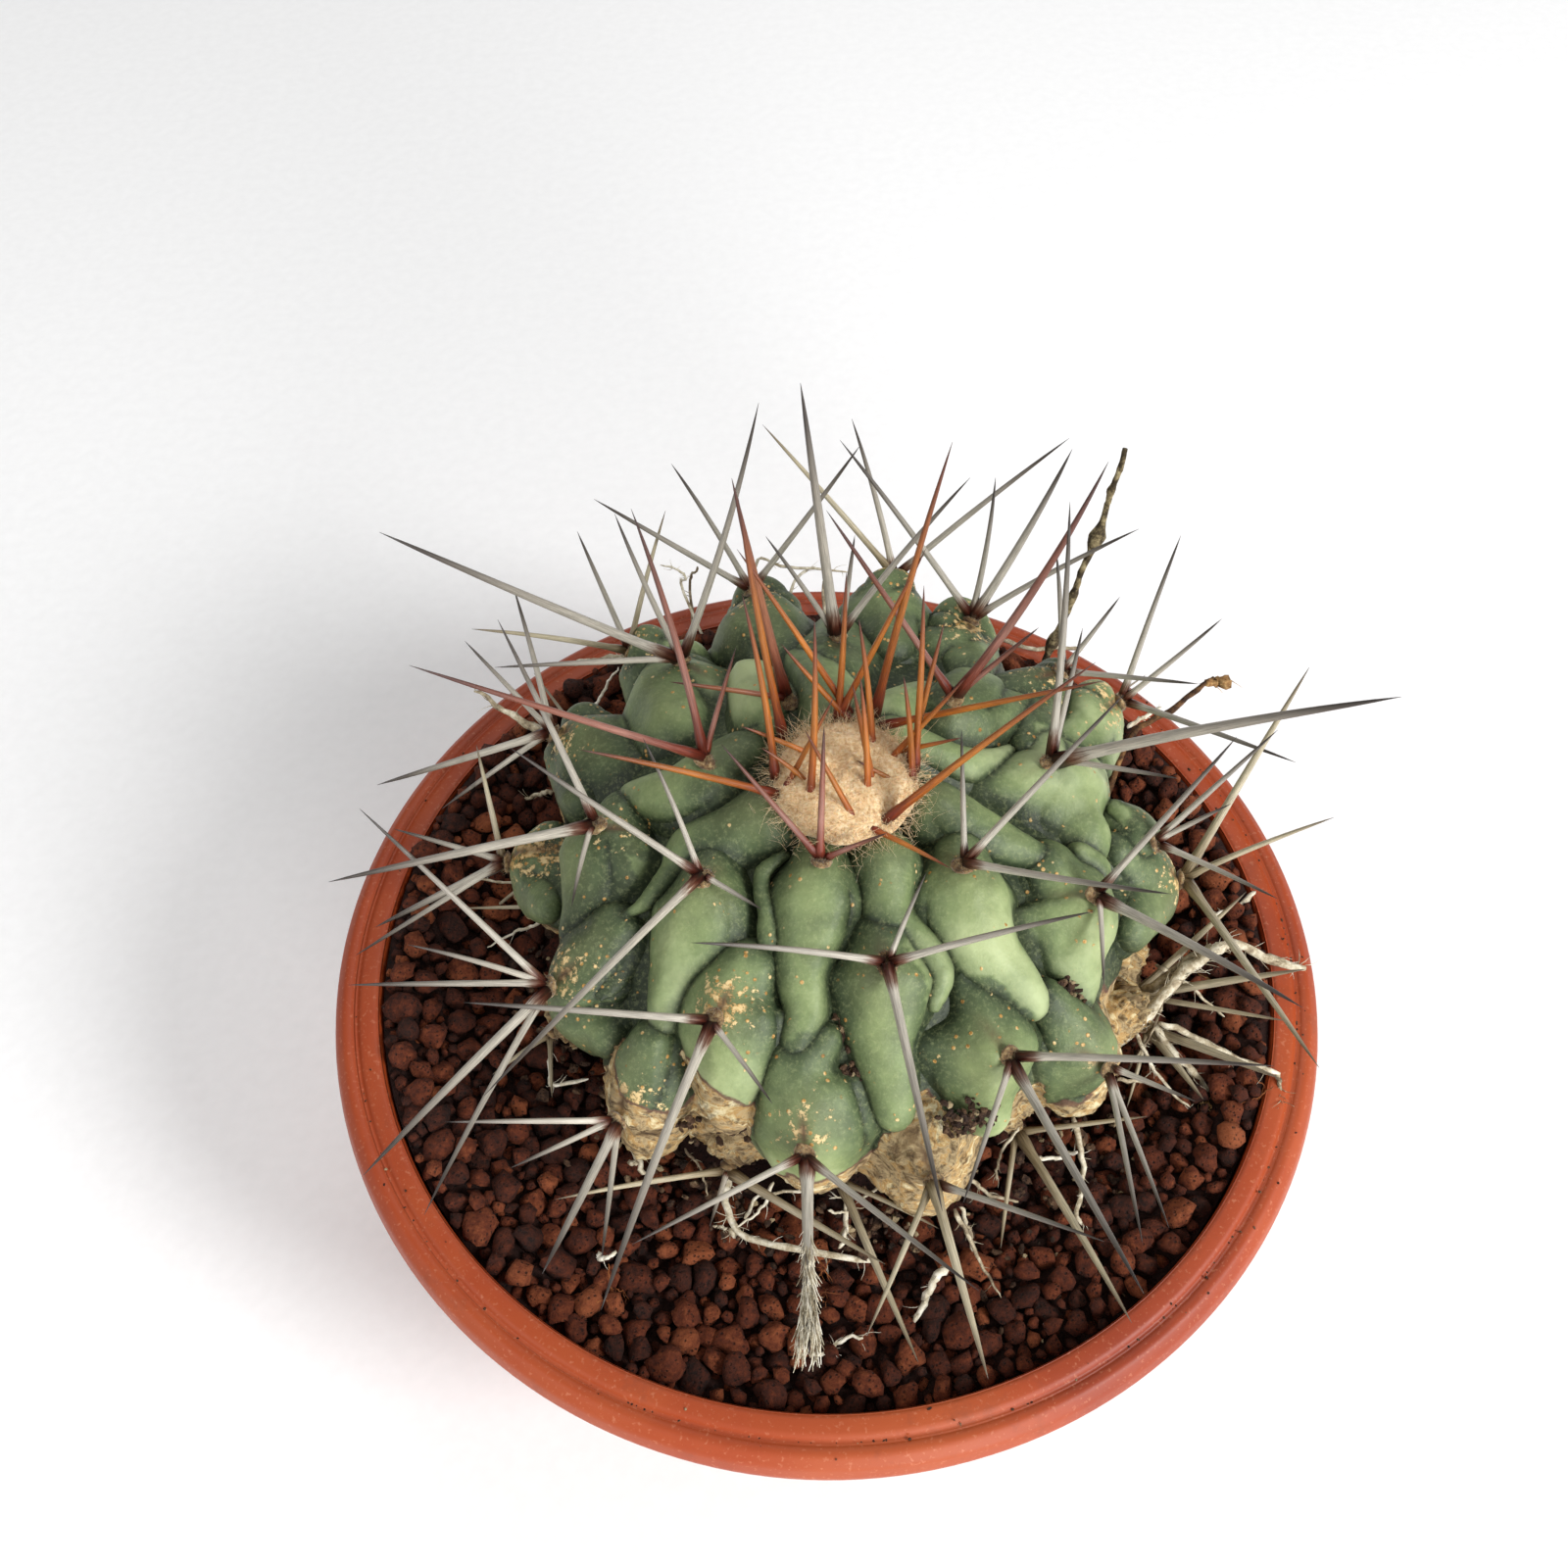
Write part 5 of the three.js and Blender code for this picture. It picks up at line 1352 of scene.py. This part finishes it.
# The crown: a pad of cream wool that the youngest spines stand in

crownForm = {
    "place": Vector((3.2, 1.6, 127.2)),
    "radius": 11.4,
    "rise": 4.8,
    "seat": 3.2,
    "hairs": 3200,
    "hairRadius": 0.05,
    "strays": 420,  # single hairs left on the flesh round the pad
    "strayRadius": 0.028,
}


def makeCrownWool():
    draw = random.Random(23)
    place, radius = crownForm["place"], crownForm["radius"]
    bm = bmesh.new()
    bmesh.ops.create_uvsphere(bm, u_segments=72, v_segments=36, radius=1)

    def level(x, y):
        reach = math.hypot(x, y) / radius
        lumps = noise.fractal(Vector((x, y, 0)) * 0.28, 1.0, 2.1, 4)
        return crownForm["rise"] * math.sqrt(max(0, 1 - min(reach, 1) ** 2.4)) * (1 + 0.22 * lumps)

    for vert in bm.verts:
        edge = 1 + 0.07 * noise.noise(Vector((vert.co.x, vert.co.y, 0)) * 3)
        x, y = vert.co.x * radius * edge, vert.co.y * radius * edge
        vert.co = place + Vector((x, y, level(x, y) if vert.co.z >= 0 else vert.co.z * crownForm["seat"]))
    hair = makeStrand("woolHair", 3, 3)
    for _ in range(crownForm["hairs"]):
        turn, reach = draw.uniform(0, fullTurn), math.sqrt(draw.random()) * radius * 0.99
        x, y = math.cos(turn) * reach, math.sin(turn) * reach
        root = place + Vector((x, y, level(x, y) - 0.3))
        outwards = Vector((math.cos(turn), math.sin(turn), 0)) * (reach / radius)
        loose = Vector((draw.gauss(0, 1), draw.gauss(0, 1), draw.uniform(0, 0.5)))
        direction = (loose + outwards).normalized()
        length = draw.uniform(1.0, 2.2) + (draw.uniform(0.5, 2.2) if reach > 0.86 * radius else 0)
        layStrand(bm, hair, bentHair(root, direction, length, 0.5, draw),
                  lambda share, angle: crownForm["hairRadius"] * (1 - 0.7 * share))
    for _ in range(crownForm["strays"]):
        turn, reach = draw.uniform(0, fullTurn), radius * draw.uniform(0.98, 1.3)
        x, y = math.cos(turn) * reach, math.sin(turn) * reach
        root = place + Vector((x, y, -0.9 - 0.34 * (reach - radius)))
        direction = Vector((draw.gauss(0, 1), draw.gauss(0, 1), draw.uniform(0.2, 1.2))).normalized()
        layStrand(bm, hair, bentHair(root, direction, draw.uniform(0.8, 2.4), 0.7, draw),
                  lambda share, angle: crownForm["strayRadius"] * (1 - 0.7 * share))
    print("crown wool faces:", len(bm.faces))
    stops = [(0.28, "#9c7048"), (0.38, "#d0a878"), (0.5, "#e6c596"), (0.68, "#f5e2c0")]
    finishPiece("crownWool", bm, feltWool("crownWool", stops, 1.5), ["crown"])


makeCrownWool()
print("crown wool made")


# The dry stalk that leans out between the spines at the back

# Where it shows: pixels, and the height in mm
stalkSeen = [(1046, 722, 69), (1066, 676, 80), (1086, 628, 91), (1105, 585, 100), (1127, 522, 113),
             (1138, 492, 120), (1148, 458, 127)]


def dryFibre(name, stops):
    # Dead plant fibre: dull straw, mottled grey and brown
    material, tree = newMaterial(name)
    mottle = addNoise(tree, objectPlace(tree), 0.45, 7, 0.7)
    body = addRamp(tree, addMath(tree, "MULTIPLY_ADD", readLayer(tree, "tone"), 0.2, mottle), stops)
    return finishMaterial(material, {"Roughness": 0.85, "Specular IOR Level": 0.3},
                          {"Base Color": body, "Normal": addBump(tree, mottle, 0.6, 0.3)})


def makeStalk():
    bm = bmesh.new()
    layers = strandLayers(bm)
    foot = Vector((43.9, 59.6, 62))  # where it stands in the substrate
    smooth = curveThrough([foot] + [sightedAtHeight(*seen) for seen in stalkSeen])

    def path(share):
        kink = Vector((noise.noise(Vector((share * 8, 0, 0))), noise.noise(Vector((0, share * 8, 4))), 0))
        return smooth(share) + kink * 1.1

    def thickness(share, angle):
        knot = max(0, noise.noise(Vector((share * 13, 7, 0)))) ** 2 * 3.5
        return (1.0 - 0.3 * share) * (0.8 + knot + 0.3 * noise.noise(Vector((share * 55, angle * 0.4, 0))))

    layStrand(bm, makeStrand("stalkStrand", 8, 60), path, thickness, layers, seed=3)
    stops = [(0.3, "#1f1911"), (0.45, "#463b29"), (0.54, "#857757"), (0.68, "#b3a681")]
    finishPiece("dryStalk", bm, dryFibre("dryStalkBark", stops), ["dry_stalk"])


makeStalk()
print("stalk made")


# Litter: broken spines, fibres and rootlets that lie on the granules, as (px, py, height in mm) along each,
# after its radii at both ends and the number of frayed hairs on it. Where nothing shows, (0, x, y, z) in mm
litter = {
    "strawFibres": [
        (0.7, 0.55, 30, [(743, 1190, 76), (742, 1229, 71), (759, 1261, 69), (813, 1275, 70),
                         (895, 1287, 69)]),
        (0.25, 0.5, 10, [(727, 1250, 69), (742, 1256, 69), (759, 1262, 69)]),
        (0.35, 0.25, 4, [(759, 1244, 70), (774, 1222, 72), (809, 1216, 73), (849, 1214, 73)]),
        (0.3, 0.1, 0, [(845, 1237, 72), (862, 1236, 72), (881, 1232, 73)]),
        (0.85, 0.5, 8, [(966, 1292, 71), (953, 1305, 71), (944, 1326, 69), (934, 1348, 68)]),
        (0.5, 0.35, 8, [(856, 1192, 76), (863, 1230, 72), (863, 1258, 71), (857, 1273, 70)]),
        (0.7, 0.4, 2, [(641, 1157, 74), (649, 1176, 72), (657, 1198, 70)]),
        (0.45, 0.5, 2, [(641, 1187, 71), (656, 1185, 71)]),
        (0.35, 0.5, 3, [(629, 1276, 71), (620, 1283, 71), (613, 1284, 70), (611, 1278, 70)]),
        (0.4, 0.3, 14, [(828, 1384, 70), (846, 1379, 69), (861, 1366, 69), (881, 1364, 70)]),
        (0.35, 0.35, 6, [(980, 1230, 76), (988, 1252, 73), (992, 1275, 70)]),
        (0.5, 0.15, 4, [(975, 1234, 78), (998, 1282, 73), (1022, 1326, 69)]),
        (0.6, 0.4, 10, [(1096, 1139, 77), (1103, 1175, 73), (1105, 1202, 71), (1100, 1239, 70),
                        (1106, 1252, 69)]),
        (0.4, 0.35, 4, [(1052, 1181, 72), (1078, 1181, 71), (1101, 1175, 71)]),
        (1.1, 1.0, 40, [(1139, 1065, 80), (1172, 1033, 84), (1200, 1000, 87), (1230, 974, 90),
                        (1251, 963, 92)]),
        (1.0, 0.8, 30, [(1164, 1013, 82), (1197, 992, 86), (1222, 974, 88), (1238, 966, 90)]),
        (0.9, 0.8, 24, [(1222, 975, 86), (1258, 964, 84), (1290, 975, 81), (1333, 991, 78)]),
        (0.75, 0.6, 34, [(1171, 1040, 79), (1197, 1074, 76), (1219, 1097, 73), (1237, 1121, 70)]),
        (0.6, 0.5, 8, [(1183, 1042, 82), (1229, 1064, 79), (1277, 1086, 77), (1304, 1096, 76)]),
        (0.5, 0.1, 30, [(1304, 1095, 76), (1307, 1110, 75), (1307, 1131, 74)]),
        (0.45, 0.12, 2, [(1139, 1101, 80), (1170, 1104, 78), (1202, 1117, 77)]),
        (0.95, 0.3, 4, [(564, 753, 104), (522, 729, 107), (484, 705, 110)]),
        (0.5, 0.35, 4, [(564, 807, 76), (548, 811, 74), (533, 817, 73)]),
        (0.5, 0.3, 4, [(642, 669, 103), (610, 672, 101), (588, 675, 99)]),
        (0.45, 0.2, 0, [(600, 730, 77), (616, 704, 80), (632, 679, 84)]),
        (0.35, 0.2, 6, [(0, -20, 71, 72), (697, 602, 81), (700, 590, 84), (690, 580, 85), (674, 577, 84)]),
        (0.4, 0.25, 8, [(0, -8, 74, 73), (765, 606, 79), (773, 572, 86), (790, 575, 86), (810, 579, 85),
                        (868, 584, 84)]),
        (0.4, 0.3, 8, [(0, -2, 68, 72), (808, 608, 79), (818, 586, 82), (830, 578, 83)]),
        (0.45, 0.3, 4, [(0, 3, 68, 72), (840, 604, 79), (846, 590, 82)]),
        (0.4, 0.25, 4, [(0, -24, 66, 72), (704, 600, 79), (712, 579, 83)]),
        (0.5, 0.4, 4, [(1022, 654, 79), (1060, 662, 78), (1101, 659, 78)]),
        (0.45, 0.3, 3, [(1077, 690, 77), (1081, 672, 79), (1083, 652, 80)]),
        (0.45, 0.35, 4, [(1150, 742, 80), (1170, 730, 81), (1185, 722, 82)]),
        (0.5, 0.4, 5, [(1290, 905, 74), (1262, 925, 75), (1236, 936, 76)]),
        (0.45, 0.3, 8, [(562, 1075, 72), (561, 1100, 71), (566, 1108, 71), (600, 1100, 72)]),
        (0.4, 0.3, 8, [(618, 1060, 76), (622, 1080, 73), (624, 1092, 71)]),
        (0.3, 0.15, 5, [(700, 1172, 76), (716, 1196, 73), (722, 1222, 71)]),
        (0.35, 0.2, 6, [(790, 1206, 76), (776, 1234, 72), (752, 1252, 71)]),
        (0.35, 0.15, 4, [(905, 1204, 76), (880, 1222, 73), (846, 1222, 72)]),
        (0.4, 0.25, 8, [(985, 1192, 80), (1004, 1216, 76), (1040, 1226, 73)]),
        (0.35, 0.2, 5, [(1040, 1150, 80), (1022, 1176, 76), (1016, 1204, 72)]),
        (0.45, 0.2, 8, [(1180, 985, 84), (1214, 1006, 80), (1248, 1038, 75)]),
        (0.4, 0.2, 10, [(1160, 1052, 80), (1180, 1096, 76), (1214, 1130, 72)]),
        (0.35, 0.2, 6, [(1190, 1000, 86), (1176, 1052, 79), (1150, 1094, 74)]),
        (0.35, 0.15, 3, [(548, 898, 76), (512, 900, 74), (470, 896, 73)]),
        (0.4, 0.15, 3, [(560, 940, 74), (528, 950, 72), (498, 966, 72)]),
    ],
    "kinkedStalk": [
        (0.75, 0.55, 3, [(0, 56, 31, 74), (1150, 757, 82), (1170, 738, 85), (1195, 725, 87), (1214, 709, 88),
                         (1231, 697, 89)]),
        (0.8, 1.3, 2, [(1229, 698, 89), (1240, 695, 89), (1247, 695, 89), (1253, 699, 89)]),
        (0.6, 0.45, 4, [(1217, 987, 72), (1240, 1004, 71), (1263, 1016, 70), (1290, 1030, 70),
                        (1307, 1038, 70)]),
        (0.5, 0.9, 20, [(1222, 1118, 71), (1231, 1127, 71), (1237, 1133, 71)]),
        (0.3, 0.2, 6, [(1227, 1062, 71), (1231, 1080, 70), (1240, 1110, 69)]),
    ],
    "rootlets": [
        (0.13, 0.06, 3, [(620, 1290, 71), (622, 1308, 70), (626, 1326, 69), (632, 1338, 69)]),
        (0.12, 0.06, 2, [(629, 1313, 70), (636, 1320, 69), (640, 1331, 69)]),
        (0.12, 0.06, 3, [(833, 1284, 71), (840, 1292, 70), (836, 1304, 69)]),
        (0.12, 0.06, 3, [(846, 1285, 71), (842, 1297, 70), (846, 1306, 69)]),
        (0.14, 0.06, 5, [(822, 1326, 72), (834, 1325, 71), (844, 1314, 71)]),
        (0.12, 0.05, 2, [(834, 1325, 71), (843, 1329, 70)]),
        (0.12, 0.08, 0, [(608, 1330, 76), (618, 1326, 77), (622, 1334, 75)]),
        (0.14, 0.08, 2, [(1278, 1098, 76), (1290, 1112, 75), (1272, 1130, 73)]),
        (0.12, 0.06, 2, [(1300, 1108, 76), (1284, 1120, 75), (1262, 1128, 74)]),
    ],
}

litterLooks = {
    "strawFibres": ("strawFibre", [(0.3, "#665745"), (0.45, "#ab9d82"), (0.56, "#d3cab2"), (0.7, "#f0eada")]),
    "kinkedStalk": ("brownFibre", [(0.3, "#2c1c12"), (0.46, "#6b4a2c"), (0.56, "#9a7346"), (0.7, "#c9a672")]),
    "rootlets": ("rootletBark", [(0.3, "#3d2010"), (0.5, "#7a4420"), (0.7, "#a8683a")]),
}


# The stoutest front spine has split into a brush at its end
brushForm = {
    "run": spineRuns["areole_23"][1],
    "bristles": 420,
    "stretch": (0.36, 0.95),  # the shares of the spine's length between which they stand
    "bristleRadius": 0.17,
    "wildShare": 0.12,  # thin ones that stand out on their own
    "wildRadius": 0.07,
}


def makeBrush(draw, hair):
    bm = bmesh.new()
    layers = strandLayers(bm)
    spine = spinePath(brushForm["run"])
    for _ in range(brushForm["bristles"]):
        share = draw.uniform(*brushForm["stretch"])
        ahead = (spine(min(share + 0.03, 1)) - spine(share - 0.03)).normalized()
        across, along = squareTo(ahead)
        aside = (across * draw.gauss(0, 1) + along * draw.gauss(0, 1)).normalized()
        swell = 0.55 + 1.1 * mapRange(share, 0.6, 0.9)
        root = spine(share) + aside * draw.uniform(0.5, 1) * swell
        wild = draw.random() < brushForm["wildShare"]
        spread = draw.uniform(0.5, 1.6) if wild else draw.uniform(-0.06, 0.16)
        direction = (ahead + aside * spread).normalized()
        length = draw.uniform(1, 2.6) if wild else draw.uniform(3, 6) * (1.1 - 0.4 * share)
        radius = brushForm["wildRadius" if wild else "bristleRadius"]
        layStrand(bm, hair, bentHair(root, direction, length, 0.12, draw),
                  lambda part, angle: radius * (1 - 0.7 * part), layers, tone=draw.gauss(0.3, 0.4))
    finishPiece("spineBrush", bm, dryFibre("spineBrushFibre", litterLooks["strawFibres"][1]))


def makeLitter():
    draw = random.Random(31)
    noise.seed_set(4)  # or noise_vector, which bends the fibres, differs from run to run
    stem, hair = makeStrand("fibreStrand", 6, 16), makeStrand("frayedHair", 3, 2)
    for name, rows in litter.items():
        bm = bmesh.new()
        layers = strandLayers(bm)
        for start, end, frays, seen in rows:
            smooth = curveThrough([Vector(spot[1:]) if len(spot) == 4 else sightedAtHeight(*spot)
                                   for spot in seen])
            seed = draw.uniform(0, 90)

            def path(share):
                return smooth(share) + noise.noise_vector(Vector((share * 9, seed, 0))) * (0.35 + 0.3 * start)

            def thickness(share, angle):
                rough = 1 + 0.45 * noise.noise(Vector((share * 14 + seed, angle, 0)))
                ends = 0.55 + 0.45 * mapRange(min(share, 1 - share), 0, 0.04)
                return mixed(start, end, share) * rough * ends

            tone = draw.gauss(0, 0.35)
            layStrand(bm, stem, path, thickness, layers, tone=tone, seed=seed)
            for _ in range(frays):
                share = draw.random() ** 0.7
                ahead = (path(min(share + 0.05, 1)) - path(max(share - 0.05, 0))).normalized()
                across, along = squareTo(ahead)
                aside = across * draw.gauss(0, 1) + along * draw.gauss(0, 1)
                direction = (ahead * draw.uniform(0.2, 1.6) + aside * 0.8).normalized()
                root = path(share) + aside.normalized() * (mixed(start, end, share) * 0.8)
                length = draw.uniform(0.8, 3.2) * (0.6 + start * 0.4)
                layStrand(bm, hair, bentHair(root, direction, length, 0.4, draw),
                          lambda part, angle: 0.1 * (1 - 0.75 * part), layers, tone=tone + 0.2, seed=seed)
        look, stops = litterLooks[name]
        finishPiece(name, bm, dryFibre(look, stops))
    makeBrush(draw, hair)


makeLitter()
print("litter made")


# Crumbs: dark plant rot round the foot of the stem and over the right of the pot, and grit on the rim
crumbForm = {
    "foot": 620,
    "right": 420,
    "rim": 150,
    "pale": 0.07,  # the share that is pale
}

# Dark rubble caught between tubercles: where it is seen, how deep it lies in mm and how many crumbs
rubble = [(860, 1050, 7, 26), (870, 1100, 7, 40), (1095, 1010, 5, 30), (975, 1144, 4, 60), (744, 1150, 6, 24),
          (700, 1150, 6, 20), (1000, 1138, 4, 40)]


def makeCrumbs():
    draw = random.Random(47)
    spots = []
    for _ in range(crumbForm["foot"]):
        turn, reach = draw.uniform(0, fullTurn), draw.gauss(53, 3.4)
        height = 68.5 + draw.uniform(-0.5, 2.4) - 0.12 * max(reach - 52, 0)
        spots.append((Vector((3 + math.cos(turn) * reach, 3 + math.sin(turn) * reach, height)),
                      draw.uniform(0.3, 1.15)))
    for _ in range(crumbForm["right"]):
        turn, reach = draw.gauss(-0.35, 0.42), draw.uniform(58, 79)
        height = 67.8 + draw.uniform(-0.6, 1.2)
        spots.append((Vector((math.cos(turn) * reach, math.sin(turn) * reach, height)),
                      draw.uniform(0.25, 0.9)))
    for _ in range(crumbForm["rim"]):
        turn = draw.choice([draw.gauss(-0.2, 0.5), draw.gauss(-1.5, 0.8), draw.uniform(0, fullTurn)])
        reach = draw.choice([pot["grooveRadius"], pot["grooveRadius"], draw.uniform(82, 88)])
        height = 74.0 if reach == pot["grooveRadius"] else 75.0 if reach < 84.5 else 74.6
        spots.append((Vector((math.cos(turn) * reach, math.sin(turn) * reach, height)),
                      draw.uniform(0.1, 0.34)))
    for px, py, sink, count in rubble:
        for _ in range(count):
            spot = sightedOnDome(px + draw.gauss(0, 9), py + draw.gauss(0, 8), sink=sink)[0]
            spots.append((spot, draw.uniform(0.3, 0.85)))
    bm = bmesh.new()
    tone = bm.verts.layers.float.new("tone")
    grit = rockTemplate(1)
    for spot, radius in spots:
        stretch = Vector((draw.uniform(0.7, 1.5), draw.uniform(0.5, 1.1), draw.uniform(0.4, 0.9)))
        turn = anyTurn(draw)
        shade = 0.75 if draw.random() < crumbForm["pale"] else draw.gauss(0, 0.12)
        seed = Vector((draw.uniform(0, 90), 0, 0))
        for vert in addCopy(bm, grit):
            lump = 1 + 0.6 * noise.noise(vert.co * 1.7 + seed)
            vert.co = spot + turn @ (vert.co * stretch * (radius * lump))
            vert[tone] = shade
    stops = [(0.2, "#140c07"), (0.45, "#38251a"), (0.62, "#5d4430"), (0.85, "#a3906f")]
    finishPiece("rotCrumbs", bm, lavaRock("plantRot", stops), smooth=False)


makeCrumbs()
print("crumbs made")


# Floor, world and lights: a plain pale studio, with the key light from the front right, a low lamp in front
# and weaker ones from the left and from behind

studio = {
    "floor": 4.0,
    "world": 0.32,
    "lamps": [  # name, place and size in metres, power in watts
        ("keyLamp", (0.88, -0.62, 0.9), 0.42, 15),
        ("frontLamp", (0.45, -1.2, 0.42), 0.5, 9),
        ("sideLamp", (-0.9, -0.6, 0.9), 0.9, 4),
        ("backLamp", (0.1, 0.9, 1.2), 0.9, 4),
    ],
}


def makeStudio():
    bm = bmesh.new()
    bmesh.ops.create_circle(bm, cap_ends=True, segments=96, radius=studio["floor"])
    mesh = bpy.data.meshes.new("floor")
    bm.to_mesh(mesh)
    bm.free()
    floor = bpy.data.objects.new("floor", mesh)
    bpy.context.scene.collection.objects.link(floor)
    material, tree = newMaterial("palePaper")
    fleck = addRamp(tree, addNoise(tree, objectPlace(tree), 0.3, 3), [(0.3, "#fbfbfb"), (0.7, "#ffffff")])
    finishMaterial(material, {"Roughness": 0.9, "Specular IOR Level": 0.1}, {"Base Color": fleck})
    mesh.materials.append(material)
    world = bpy.data.worlds.new("studio")
    world.use_nodes = True
    world.node_tree.nodes["Background"].inputs["Color"].default_value = linearColour("#ffffff")
    world.node_tree.nodes["Background"].inputs["Strength"].default_value = studio["world"]
    bpy.context.scene.world = world
    for name, spot, size, power in studio["lamps"]:
        data = bpy.data.lights.new(name, "AREA")
        data.shape = "DISK"
        data.size = size
        data.energy = power
        lamp = bpy.data.objects.new(name, data)
        aim = (Vector(spot) - Vector((0, 0, 0.08))).normalized()
        lamp.matrix_world = Matrix.Translation(spot) @ aim.to_track_quat("Z", "Y").to_matrix().to_4x4()
        bpy.context.scene.collection.objects.link(lamp)
    bpy.context.scene.view_settings.view_transform = "Standard"


makeStudio()
